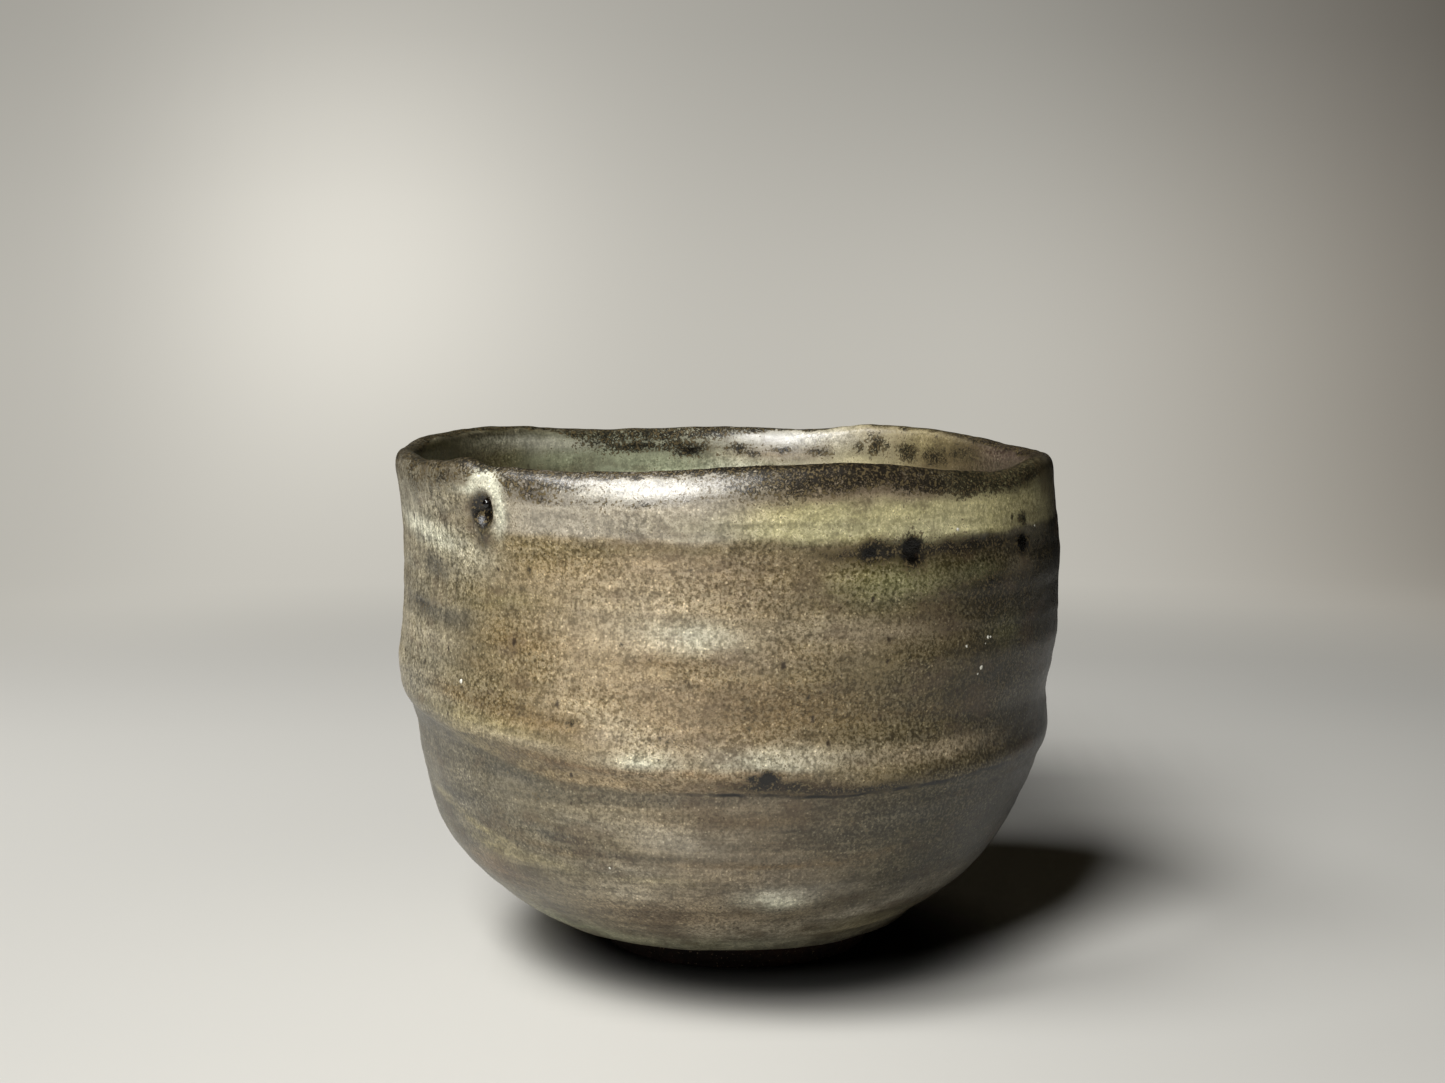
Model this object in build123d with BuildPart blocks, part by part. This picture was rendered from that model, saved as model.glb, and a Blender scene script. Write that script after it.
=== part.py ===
"""A hand-thrown stoneware tea bowl: clay body, foot ring, two coats of glaze and a melted stone bead.

Millimetres, +Z up. The origin is the middle of the foot ring's resting face, and the front is -Y.
The bowl isn't round: its throwing rings lie tilted, sit off the axis and swell, and its lip rises and
falls. Each throwing ring is a closed spline, and the skin of the bowl is one loft through all of them,
from the underside up the outside, over the lip and down to the floor.
"""

import os
from dataclasses import dataclass, replace
from math import cos, hypot, radians, sin, sqrt

from build123d import *

# The whole bowl
LIP_HEIGHT = 90.0  # mean height of the glazed lip above the table
BELLY_RADIUS = 58.8  # of the clay; the throwing rings' radii are shares of this
BOWL_OFFSET = -1.5  # the thrown wall stands this far off the foot ring's centre, along X

# Clay thickness
LIP_THICKNESS = 3.0
BASE_THICKNESS = 6.2  # of the wall where it turns into the floor
FLOOR_THICKNESS = 7.0  # under the middle of the tea pool
THINNING = 1.5  # how soon the wall thins on its way up: 1 is evenly, more is sooner

# Tea pool, the shallow hollow in the floor
POOL_RADIUS = 17.0
POOL_DEPTH = 1.0

# Foot ring, luted to the flat underside
FOOT_RADIUS = 24.0  # outside, at the table
FOOT_HEIGHT = 4.6
FOOT_WIDTH = 5.6  # of the ring's wall at the table
FOOT_TAPER = 0.6  # each side of the ring's wall leans out by this much towards its top
FOOT_EDGE = 0.7  # rounding where the ring meets the table
UNDERSIDE_MARGIN = 1.4  # flat of the underside outside the ring
BASE_FULLNESS = 0.7  # of the turn above the underside: 1 is a straight cone, less is rounder

# Hollow that the trimming tool cuts into the underside, inside the ring, with the button it leaves
RECESS_DEPTH = 1.1
RECESS_MARGIN = 0.8  # flat left between the ring and the hollow
BUTTON_RADIUS = 3.4
BUTTON_HEIGHT = 0.7
BUTTON_SLOPE = 35.0  # of its side, in degrees

# Glaze
GLAZE_THICKNESS = 0.5
GLAZE_LINE = 0.9  # the glaze stops this far above the underside

# Pit near the lip, lined with glaze, with the bead of melted stone in it
PIT_ANGLE = -42.0  # from the front, positive to the right
PIT_DROP = 7.6  # from the lip down to its middle
PIT_WIDTH = 4.5
PIT_HEIGHT = 6.4
PIT_DEPTH = 1.3
BEAD_RADIUS = 0.85
BEAD_RISE = 0.9  # of the bead above the pit's middle

# Throwing rings of the outside, from the turn of the base to below the lip:
# share of the clay's height, share of the belly radius, tilt, shift to the right, lobe
RINGS = (
    (0.052, 0.630, 0.0, -1.1, 1.3),
    (0.111, 0.743, 0.3, -1.1, 1.2),
    (0.181, 0.837, 0.6, -1.1, 0.9),
    (0.252, 0.892, 1.1, -0.9, 0.6),
    (0.317, 0.921, 2.2, -0.5, 0.4),
    (0.382, 0.945, 4.0, -0.2, 0.3),
    (0.443, 0.966, 5.6, 0.0, 0.2),
    (0.466, 0.984, 5.8, -0.3, 0.1),
    (0.494, 0.989, 5.6, -0.6, 0.0),
    (0.535, 0.986, 4.8, -0.9, 0.0),
    (0.594, 0.989, 3.4, -0.3, 0.0),
    (0.652, 0.996, 2.4, 0.5, 0.1),
    (0.723, 0.995, 1.6, 0.7, 0.1),
    (0.806, 0.997, 1.0, 0.8, 0.2),
    (0.888, 0.996, 0.4, 0.2, 0.3),
    (0.947, 1.000, 0.0, -0.4, 0.4),
)
TRIM_RINGS = (6, 7)  # they draw the edge left by trimming, which the inside doesn't follow
TILT_LOW = 50.0  # tilted rings lie lowest here, in degrees from the front
LOBE_FULL = 5.0  # the lobes stand out furthest here and opposite, in degrees from the front
INSIDE_TILT = 0.5  # of the inside's rings, as a share of the outside's
LIP_SHIFT = -0.6
LIP_LOBE = 0.4
LIP_TURNS = (0, 45, 90, 135, 180)  # degrees round the half circle over the lip

# Rise of the lip at equal steps round the bowl, from its right side by way of its back
LIP_WAVE = (
    *(-1.05, -1.0, -0.35, 0.8, 0.8, -0.25),
    *(0.2, 0.05, 0.25, 1.25, 1.45, 0.45),
    *(-0.1, -0.1, -0.3, -0.4, -1.0, -0.7),
    *(0.05, 0.65, -0.2, -1.6, -1.25, -0.65),
)
WAVE_FADE = 8  # how fast the wave dies out down the wall

FRONT = -90.0  # the front's direction, in degrees from +X
CLAY_TOP = LIP_HEIGHT - GLAZE_THICKNESS
CLAY_HEIGHT = CLAY_TOP - FOOT_HEIGHT
FLOOR = FOOT_HEIGHT + FLOOR_THICKNESS
FOOT_INSIDE = FOOT_RADIUS - FOOT_WIDTH
UNDERSIDE_RADIUS = FOOT_RADIUS + FOOT_TAPER + UNDERSIDE_MARGIN


@dataclass
class Station:
    """A throwing ring's place in the bowl's half plane, with its unevenness round the bowl."""

    height: float
    radius: float
    tilt: float = 0.0
    shift: float = 0.0
    lobe: float = 0.0
    wave: float = 1.0  # share of the lip's wave that it takes part in at the lip's height

    def radius_at(self, angle):
        swell = self.lobe * cos(2 * (angle - radians(FRONT + LOBE_FULL)))
        return self.radius + self.shift * cos(angle) + swell

    def height_at(self, angle, rise):
        lean = -self.tilt * cos(angle - radians(FRONT + TILT_LOW))
        share = max(0.0, (self.height - FOOT_HEIGHT) / CLAY_HEIGHT)
        return self.height + lean + rise * self.wave * min(share, 1.0) ** WAVE_FADE


def wall_thickness(height):
    """The clay wall at a height: thick at the base and thin at the lip."""
    share = (height - FOOT_HEIGHT) / CLAY_HEIGHT
    return LIP_THICKNESS + (BASE_THICKNESS - LIP_THICKNESS) * (1 - share) ** THINNING


def moved(stations, distance):
    """The stations moved along the profile's outward normal, by the distance that goes with their height."""
    result = []
    for i, here in enumerate(stations):
        before, after = stations[max(i - 1, 0)], stations[min(i + 1, len(stations) - 1)]
        out, up = after.radius - before.radius, after.height - before.height
        step = distance(here.height) / hypot(out, up)
        result.append(replace(here, radius=here.radius + step * up, height=here.height - step * out))
    return result


def base():
    """The underside's edge, centred on the foot ring, and the glaze's lower edge above it."""
    share, belly_share = RINGS[0][:2]
    turned = (GLAZE_LINE / (share * CLAY_HEIGHT)) ** BASE_FULLNESS
    line_radius = UNDERSIDE_RADIUS + (belly_share * BELLY_RADIUS - UNDERSIDE_RADIUS) * turned
    return [
        Station(FOOT_HEIGHT, UNDERSIDE_RADIUS, shift=-BOWL_OFFSET),
        Station(FOOT_HEIGHT + GLAZE_LINE, line_radius, shift=-BOWL_OFFSET * (1 - turned)),
    ]


def outside():
    return [
        Station(FOOT_HEIGHT + share * CLAY_HEIGHT, belly_share * BELLY_RADIUS, tilt, shift, lobe)
        for share, belly_share, tilt, shift, lobe in RINGS
    ]


def lip():
    """A half circle over the lip, from its outer to its inner shoulder."""
    half = LIP_THICKNESS / 2
    middle = RINGS[-1][1] * BELLY_RADIUS - half
    return [
        Station(
            CLAY_TOP - half + half * sin(radians(turn)),
            middle + half * cos(radians(turn)),
            shift=LIP_SHIFT,
            lobe=LIP_LOBE,
        )
        for turn in LIP_TURNS
    ]


def inside():
    """From below the lip down the wall and across the floor into the tea pool."""
    followed = [place for i, place in enumerate(outside()) if i not in TRIM_RINGS]
    wall = moved(followed, lambda height: -wall_thickness(height))
    pool = [
        Station(FLOOR + POOL_DEPTH, POOL_RADIUS),
        Station(FLOOR + POOL_DEPTH / 4, POOL_RADIUS * 3 / 4),
        Station(FLOOR, POOL_RADIUS / 2),
    ]
    return [replace(place, tilt=place.tilt * INSIDE_TILT) for place in reversed(wall)] + pool


def middle():
    """Halfway through the clay, from inside the floor up to the lip's crest and on to a flat top."""
    under_pool = Station(FOOT_HEIGHT + (RECESS_DEPTH + FLOOR_THICKNESS) / 2, UNDERSIDE_RADIUS)
    half_way = moved(outside(), lambda height: -wall_thickness(height) / 2)
    crest = lip()[len(LIP_TURNS) // 2]
    above = replace(crest, height=crest.height + LIP_THICKNESS)
    flat_top = replace(crest, height=crest.height + 3 * LIP_THICKNESS, wave=0.0)
    return [under_pool] + half_way + [crest, above, flat_top]


def ring(place):
    """A station's throwing ring: a closed spline round the bowl's axis, evenly timed."""
    count = len(LIP_WAVE)
    points = []
    for i, rise in enumerate(LIP_WAVE):
        angle = radians(i * 360 / count)
        radius = place.radius_at(angle)
        points.append((BOWL_OFFSET + radius * cos(angle), radius * sin(angle), place.height_at(angle, rise)))
    times = [i / count for i in range(count + 1)]
    return Wire([Edge.make_spline(points, periodic=True, parameters=times)])


def skin(stations):
    """The closed solid lofted through the stations' rings."""
    return Solid.make_loft([ring(place) for place in stations])


# The pit is an ellipsoid of revolution about an upright line in front of the wall. Its section stands
# in the upright plane through the bowl's axis and the pit, with that plane's X pointing outwards.
pit_angle = radians(FRONT + PIT_ANGLE)
pit_radius = ((PIT_WIDTH / 2) ** 2 + PIT_DEPTH**2) / (2 * PIT_DEPTH)
pit_stretch = PIT_HEIGHT / PIT_WIDTH
pit_reach = outside()[-1].radius_at(pit_angle) + GLAZE_THICKNESS + pit_radius - PIT_DEPTH
pit_plane = Plane(
    origin=(BOWL_OFFSET + pit_reach * cos(pit_angle), pit_reach * sin(pit_angle), LIP_HEIGHT - PIT_DROP),
    x_dir=(cos(pit_angle), sin(pit_angle), 0),
    z_dir=(sin(pit_angle), -cos(pit_angle), 0),
)


def pit_hollow(growth):
    """The pit's ellipsoid, grown outwards all round."""
    with BuildPart() as hollow:
        with BuildSketch(pit_plane):
            Ellipse(pit_radius + growth, pit_radius * pit_stretch + growth)
            split(bisect_by=Plane.YZ, keep=Keep.BOTTOM)
        revolve(axis=Axis(pit_plane.origin, pit_plane.y_dir))
    return hollow.part


# The bead sits in the pit's back wall, half sunk into its glaze
bead_depth = pit_radius * sqrt(1 - (BEAD_RISE / (pit_radius * pit_stretch)) ** 2)
with BuildPart() as stone_bead:
    with Locations(Plane(pit_plane.from_local_coords((-bead_depth, BEAD_RISE, 0)), z_dir=pit_plane.x_dir)):
        Sphere(BEAD_RADIUS)
stone_bead.part.label = "stone_bead"

# The thrown clay, before its underside is trimmed
with BuildPart() as clay:
    add(skin(base() + outside() + lip() + inside()))
    add(pit_hollow(GLAZE_THICKNESS), mode=Mode.SUBTRACT)

with BuildPart() as bowl_body:
    add(clay.part)
    # Hollow inside the foot ring, with the trimming button standing in its middle
    with BuildSketch(Plane.XY.offset(FOOT_HEIGHT)):
        Circle(FOOT_INSIDE + FOOT_TAPER - RECESS_MARGIN)
    extrude(amount=RECESS_DEPTH, mode=Mode.SUBTRACT)
    with BuildSketch(Plane.XY.offset(FOOT_HEIGHT + RECESS_DEPTH)):
        Circle(BUTTON_RADIUS)
    extrude(amount=-BUTTON_HEIGHT, taper=BUTTON_SLOPE)
    add(stone_bead.part, mode=Mode.SUBTRACT)
bowl_body.part.label = "bowl_body"

with BuildPart() as foot_ring:
    with BuildSketch(Plane.XZ) as foot_section:
        with BuildLine():
            Polyline(
                (FOOT_INSIDE, 0),
                (FOOT_RADIUS, 0),
                (FOOT_RADIUS + FOOT_TAPER, FOOT_HEIGHT),
                (FOOT_INSIDE + FOOT_TAPER, FOOT_HEIGHT),
                close=True,
            )
        make_face()
        fillet(foot_section.vertices().group_by(Axis.Y)[0], FOOT_EDGE)
    revolve(axis=Axis.Z)
foot_ring.part.label = "foot_ring"

# The whole coat of glaze, before it is parted along the lip's crest
with BuildPart() as coat:
    add(skin(moved(base() + outside() + lip() + inside(), lambda height: GLAZE_THICKNESS)))
    split(bisect_by=Plane.XY.offset(FOOT_HEIGHT + GLAZE_LINE), keep=Keep.TOP)
    add(clay.part, mode=Mode.SUBTRACT)
    add(pit_hollow(0), mode=Mode.SUBTRACT)
    add(stone_bead.part, mode=Mode.SUBTRACT)

parting = skin(middle())

with BuildPart() as outer_glaze:
    add(coat.part)
    add(parting, mode=Mode.SUBTRACT)
outer_glaze.part.label = "outer_glaze"

with BuildPart() as inner_glaze:
    add(coat.part)
    add(parting, mode=Mode.INTERSECT)
inner_glaze.part.label = "inner_glaze"

os.makedirs("parts", exist_ok=True)
for piece in (bowl_body, foot_ring, outer_glaze, inner_glaze, stone_bead):
    export_step(piece.part, f"parts/{piece.part.label}.step")
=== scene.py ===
# A wood-ash glazed stoneware tea bowl in a plain studio: its clay, foot ring, two glaze coats, melted iron
# bead and feldspar grains. Shapes are worked out in millimetres round the upright axis and put into the
# meshes in metres.
from functools import partial

import bpy
import numpy as np
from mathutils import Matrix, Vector


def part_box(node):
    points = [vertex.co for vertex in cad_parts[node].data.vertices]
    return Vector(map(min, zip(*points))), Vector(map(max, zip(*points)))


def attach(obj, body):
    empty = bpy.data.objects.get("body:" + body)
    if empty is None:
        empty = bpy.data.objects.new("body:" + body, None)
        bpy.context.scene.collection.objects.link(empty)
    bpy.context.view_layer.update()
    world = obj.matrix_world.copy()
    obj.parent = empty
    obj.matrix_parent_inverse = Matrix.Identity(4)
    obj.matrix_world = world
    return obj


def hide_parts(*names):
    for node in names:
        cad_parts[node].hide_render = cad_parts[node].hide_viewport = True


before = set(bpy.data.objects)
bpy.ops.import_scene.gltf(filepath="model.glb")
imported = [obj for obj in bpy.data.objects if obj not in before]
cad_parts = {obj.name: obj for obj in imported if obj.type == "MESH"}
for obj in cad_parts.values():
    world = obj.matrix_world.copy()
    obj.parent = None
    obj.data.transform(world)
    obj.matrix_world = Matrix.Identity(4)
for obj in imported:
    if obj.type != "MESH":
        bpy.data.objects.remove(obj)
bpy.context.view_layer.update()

millimetre = 0.001
perDegree = 1.03  # millimetres round the wall in one degree
noiseFrom = -20  # height where the seeded noise starts, in millimetres
noiseOver = 160  # and how far up it reaches
rootBody = "root"
scene = bpy.context.scene
seed = np.random.default_rng(17)


def toLinear(hexColour):
    # an sRGB hex colour as linear red, green, blue and a full alpha
    values = np.array([int(hexColour[i:i + 2], 16) for i in (1, 3, 5)]) / 255
    linear = np.where(values <= 0.04045, values / 12.92, ((values + 0.055) / 1.055) ** 2.4)
    return (*linear, 1.0)


def smoothStep(low, high, value):
    # 0 below low, 1 above high and an eased rise between them
    share = np.clip((value - low) / (high - low), 0, 1)
    return share * share * (3 - 2 * share)


def between(rise, riseEnd, fall, fallEnd, value):
    # 0 outside and 1 inside, with an eased edge at both ends
    return smoothStep(rise, riseEnd, value) * (1 - smoothStep(fall, fallEnd, value))


def bell(value, middle, width):
    # 1 at the middle, falling off on both sides: exp(-((value - middle) / width)^2)
    return np.exp(-(((value - middle) / width) ** 2))


def wrapped(degrees):
    # the same direction between -180 and 180 degrees
    return (degrees + 180) % 360 - 180


def smoothThrough(times, values, at):
    # the natural cubic spline through rows of values: its bend is continuous, and nought at both ends
    gaps = np.diff(times)
    inner = np.arange(1, len(times) - 1)
    matrix = np.eye(len(times))
    matrix[inner, inner - 1] = gaps[:-1]
    matrix[inner, inner] = 2 * (gaps[:-1] + gaps[1:])
    matrix[inner, inner + 1] = gaps[1:]
    wanted = np.zeros(values.shape)
    wanted[1:-1] = 6 * np.diff(np.diff(values, axis=0) / gaps[:, None], axis=0)
    bend = np.linalg.solve(matrix, wanted)
    here = np.clip(np.searchsorted(times, at) - 1, 0, len(gaps) - 1)
    gap = gaps[here][:, None]
    before = (at - times[here])[:, None]
    after = gap - before
    cubic = (bend[here] * after**3 + bend[here + 1] * before**3) / (6 * gap)
    straight = (values[here] / gap - bend[here] * gap / 6) * after
    return cubic + straight + (values[here + 1] / gap - bend[here + 1] * gap / 6) * before


def smoothRound(places, values, at):
    # a closed smooth line through values at places in degrees: the round is laid out three times, and the
    # middle one is read
    places = np.asarray(places, float)
    times = np.concatenate([places - 360, places, places + 360])
    rows = np.tile(np.asarray(values, float), 3)[:, None]
    return smoothThrough(times, rows, places[0] + (at.ravel() - places[0]) % 360)[:, 0].reshape(at.shape)


def roundValue(values, phi):
    # a value named at degrees from the front, eased smoothly round the bowl
    return smoothRound(list(values), list(values.values()), phi)


def unevenSteps(start, end, count, crowded):
    # count steps from start to end that stand closer together near each crowded place, which is given with a
    # width and how much closer
    fine = np.linspace(start, end, 20001)
    density = np.ones(len(fine))
    for place, width, extra in crowded:
        density += extra * bell(fine, place, width)
    total = np.concatenate([[0], np.cumsum((density[1:] + density[:-1]) / 2)])
    return np.interp(np.linspace(0, total[-1], count), total, fine)


def cloud(phi, z, across, tall, number):
    # smooth seeded noise from -1 to 1 with no seam round the bowl: random heights on a lattice of cells,
    # eased between its corners. across and tall are a cell's size in millimetres, number picks the pattern.
    cellsRound = max(3, int(round(360 / (across / perDegree))))
    pick = np.random.default_rng(number)
    lattice = pick.uniform(-1, 1, (int(noiseOver / tall) + 4, cellsRound))
    u = (phi + 180) / 360 * cellsRound
    v = (z - noiseFrom) / tall
    column, row = np.floor(u).astype(int), np.floor(v).astype(int)
    a, b = smoothStep(0, 1, u - column), smoothStep(0, 1, v - row)
    row = np.clip(row, 0, len(lattice) - 2)
    left, right = column % cellsRound, (column + 1) % cellsRound
    low = lattice[row, left] * (1 - a) + lattice[row, right] * a
    high = lattice[row + 1, left] * (1 - a) + lattice[row + 1, right] * a
    return low * (1 - b) + high * b


bowlShape = {
    "lipHeight": 90.0,
    "bellyRadius": 58.8,  # of the clay
    "offset": -1.5,  # of the thrown wall from the foot ring's centre
    "lipThickness": 3.0,
    "baseThickness": 6.2,
    "thinning": 1.5,
    "floorThickness": 7.0,
    "poolRadius": 17.0,
    "poolDepth": 1.0,
    "undersideRadius": 26.0,
    "baseFullness": 0.7,
    "footHeight": 4.6,
    "glazeThickness": 0.5,
    "glazeLine": 0.9,
    "tiltLow": 50.0,  # degrees from the front
    "lobeFull": 5.0,
    "insideTilt": 0.5,
    "waveFade": 8,
    "trimRings": (6, 7),
    # share of the clay's height, share of the belly radius, tilt, shift, lobe
    "rings": (
        (0.052, 0.630, 0.0, -1.1, 1.3),
        (0.111, 0.743, 0.3, -1.1, 1.2),
        (0.181, 0.837, 0.6, -1.1, 0.9),
        (0.252, 0.892, 1.1, -0.9, 0.6),
        (0.317, 0.921, 2.2, -0.5, 0.4),
        (0.382, 0.945, 4.0, -0.2, 0.3),
        (0.443, 0.966, 5.6, 0.0, 0.2),
        (0.466, 0.984, 5.8, -0.3, 0.1),
        (0.494, 0.989, 5.6, -0.6, 0.0),
        (0.535, 0.986, 4.8, -0.9, 0.0),
        (0.594, 0.989, 3.4, -0.3, 0.0),
        (0.652, 0.996, 2.4, 0.5, 0.1),
        (0.723, 0.995, 1.6, 0.7, 0.1),
        (0.806, 0.997, 1.0, 0.8, 0.2),
        (0.888, 0.996, 0.4, 0.2, 0.3),
        (0.947, 1.000, 0.0, -0.4, 0.4),
    ),
    "lipShift": -0.6,
    "lipLobe": 0.4,
    "lipTurns": (0, 45, 90, 135, 180),
    # rise of the lip at equal steps, from the right side by way of the back
    "lipWave": (
        *(-1.05, -1.0, -0.35, 0.8, 0.8, -0.25),
        *(0.2, 0.05, 0.25, 1.25, 1.45, 0.45),
        *(-0.1, -0.1, -0.3, -0.4, -1.0, -0.7),
        *(0.05, 0.65, -0.2, -1.6, -1.25, -0.65),
    ),
}
front = -90.0  # the front's direction, in degrees from +X
clayTop = bowlShape["lipHeight"] - bowlShape["glazeThickness"]
clayHeight = clayTop - bowlShape["footHeight"]


def moved(stations, distance):
    # the stations pushed along the profile's outward normal
    before = stations[np.maximum(np.arange(len(stations)) - 1, 0)]
    after = stations[np.minimum(np.arange(len(stations)) + 1, len(stations) - 1)]
    out, up = (after - before)[:, 0], (after - before)[:, 1]
    step = distance / np.hypot(out, up)
    result = stations.copy()
    result[:, 0] += step * up
    result[:, 1] -= step * out
    return result


def clayStations():
    # the clay's rings from the underside's edge up the outside, over the lip and down to the floor:
    # radius, height, tilt, shift, lobe
    shape = bowlShape
    rings = np.array(shape["rings"])
    outside = rings[:, [1, 0, 2, 3, 4]] * [shape["bellyRadius"], clayHeight, 1, 1, 1]
    outside[:, 1] += shape["footHeight"]
    turned = (shape["glazeLine"] / (rings[0, 0] * clayHeight)) ** shape["baseFullness"]
    lineRadius = shape["undersideRadius"] + (outside[0, 0] - shape["undersideRadius"]) * turned
    base = np.array([
        [shape["undersideRadius"], shape["footHeight"], 0, -shape["offset"], 0],
        [lineRadius, shape["footHeight"] + shape["glazeLine"], 0, -shape["offset"] * (1 - turned), 0],
    ])
    half = shape["lipThickness"] / 2
    turns = np.radians(shape["lipTurns"])
    lip = np.zeros((len(turns), 5))
    lip[:, 0] = outside[-1, 0] - half + half * np.cos(turns)
    lip[:, 1] = clayTop - half + half * np.sin(turns)
    lip[:, 3:] = shape["lipShift"], shape["lipLobe"]
    followed = np.delete(outside, shape["trimRings"], axis=0)
    share = (followed[:, 1] - shape["footHeight"]) / clayHeight
    thinner = (shape["baseThickness"] - shape["lipThickness"]) * (1 - share) ** shape["thinning"]
    wall = moved(followed, -(shape["lipThickness"] + thinner))[::-1]
    wall[:, 2] *= shape["insideTilt"]
    floor = shape["footHeight"] + shape["floorThickness"]
    pool = np.array([
        [shape["poolRadius"], floor + shape["poolDepth"], 0, 0, 0],
        [shape["poolRadius"] * 3 / 4, floor + shape["poolDepth"] / 4, 0, 0, 0],
        [shape["poolRadius"] / 2, floor, 0, 0, 0],
    ])
    return np.concatenate([base, outside, lip, wall, pool])


clay = clayStations()
coat = moved(clay, bowlShape["glazeThickness"])
crestIndex = 2 + len(bowlShape["rings"]) + len(bowlShape["lipTurns"]) // 2


def chordTimes(stations):
    # how far along the profile each station stands
    return np.concatenate([[0], np.cumsum(np.hypot(*np.diff(stations[:, :2], axis=0).T))])


def wallPoints(stations, rows, angles):
    # Each row is a station between the given ones, on the smooth curve through them. Round the bowl
    # r = radius + shift cos a + lobe cos 2(a - full), x = offset + r cos a, y = r sin a,
    # z = height - tilt cos(a - low) + wave share * rise(a).
    shape = bowlShape
    times = chordTimes(stations)
    share = np.clip((stations[:, 1] - shape["footHeight"]) / clayHeight, 0, 1)
    full = np.column_stack([stations, share ** shape["waveFade"]])
    at = np.interp(rows, np.arange(len(stations)), times)
    radius, height, tilt, shift, lobe, wave = smoothThrough(times, full, at).T[:, :, None]
    turn = np.radians(angles)[None, :]
    steps = np.arange(len(shape["lipWave"])) * 360 / len(shape["lipWave"])
    rise = smoothRound(steps, shape["lipWave"], angles)[None, :]
    r = radius + shift * np.cos(turn) + lobe * np.cos(2 * (turn - np.radians(front + shape["lobeFull"])))
    z = height - tilt * np.cos(turn - np.radians(front + shape["tiltLow"])) + wave * rise
    return np.stack([shape["offset"] + r * np.cos(turn), r * np.sin(turn), z], -1)


def gridNormals(points):
    # the cross product of the steps round and along, which points out where rows climb the outside
    around = np.roll(points, -1, 1) - np.roll(points, 1, 1)
    along = np.gradient(points, axis=0)
    normals = np.cross(around, along)
    return normals / np.maximum(np.linalg.norm(normals, axis=-1, keepdims=True), 1e-12)


def fromFront(points):
    # degrees round the bowl from the front, positive to the right, and height
    x, y = points[..., 0] - bowlShape["offset"], points[..., 1]
    return wrapped(np.degrees(np.arctan2(y, x)) - front), points[..., 2]


def mound(phi, z, place, height, wide, tall, slope=0.0):
    # a bell over the wall: exp(-(aside / wide)^2 - ((above - slope aside) / tall)^2), with aside and above in
    # millimetres from a place in degrees from the front and a height
    aside = wrapped(phi - place) * perDegree
    return np.exp(-((aside / wide) ** 2) - ((z - height - slope * aside) / tall) ** 2)


formShape = {
    # rises of the lip that are too quick for the thrown rings: degrees from the front, half width, height
    "lipDetail": (
        (-48.5, 3.4, 0.85),
        (-63.0, 6.0, -0.50),
        (-42.0, 3.0, -0.30),
        (-104.0, 10.0, 0.55),
        (-22.0, 5.0, 0.15),
        (26.0, 4.0, 0.18),
        (54.0, 7.0, -0.35),
        (150.0, 6.0, 0.25),
    ),
    "lipTremble": 0.10,
    "lipDepth": 9.0,  # these rises fade out this far below the lip
    # how far the lip leans in at degrees from the front, as the square of the way up from a height
    "lipLean": {
        -165: -0.2, -120: 0.0, -70: 0.0, -42: 0.5, -28: 1.6, -14: 2.2, 0: 1.8, 12: 0.9, 26: 0.3, 60: 0.0,
        120: 0.0, 148: -0.7, 166: -1.4, 180: -0.8,
    },
    "leanFrom": 81.5,
    # pushes of the hand: degrees from the front, height, half width, half height, out or in
    "pushes": (
        (-88, 44.5, 20, 2.6, 0.75),
        (-60, 52.0, 14, 4.0, -0.25),
        (-14, 88.5, 24, 3.6, -0.30),  # the lip's outer shoulder rolls over softly here
        (38, 88.0, 20, 3.0, -0.30),
        (-58, 71.0, 8, 3.0, -0.30),
        (52, 63.0, 9, 9.0, -0.25),
        (70, 52.0, 9, 5.0, 0.25),
        (30, 79.6, 30, 1.5, 0.12),
        (22, 75.6, 34, 1.5, -0.16),
        (-8, 59.0, 22, 1.3, -0.10),
        (6, 50.6, 24, 1.6, -0.14),
        (5, 44.4, 34, 1.9, 0.30),
        (-30, 45.5, 16, 2.0, 0.20),
        (-20, 30.0, 20, 3.0, 0.12),
        (8, 25.2, 22, 0.9, -0.10),
        (-45, 22.0, 14, 2.2, 0.15),
    ),
}


def lipRise(phi, z):
    # quick rises of the lip, fading down the wall
    shape = formShape
    rise = shape["lipTremble"] * (cloud(phi, 0 * phi, 5, 4, 31) + 0.6 * cloud(phi, 0 * phi, 2.2, 4, 32))
    for place, wide, high in shape["lipDetail"]:
        rise = rise + high * mound(phi, 0, place, 0, wide, 1)
    return rise * smoothStep(bowlShape["lipHeight"] - shape["lipDepth"], bowlShape["lipHeight"] - 0.5, z)


def leanedIn(phi, z):
    # how far the lip leans in towards the axis: lean (z - from)^2 / (lip height - from)^2
    shape = formShape
    way = np.clip(z - shape["leanFrom"], 0, None) / (bowlShape["lipHeight"] - shape["leanFrom"])
    return roundValue(shape["lipLean"], phi) * way**2


def handForm(phi, z):
    # how far glaze and clay together stand off the plain form
    off = np.zeros(phi.shape)
    for place, height, wide, tall, out in formShape["pushes"]:
        off = off + out * mound(phi, z, place, height, wide, tall)
    return off


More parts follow.
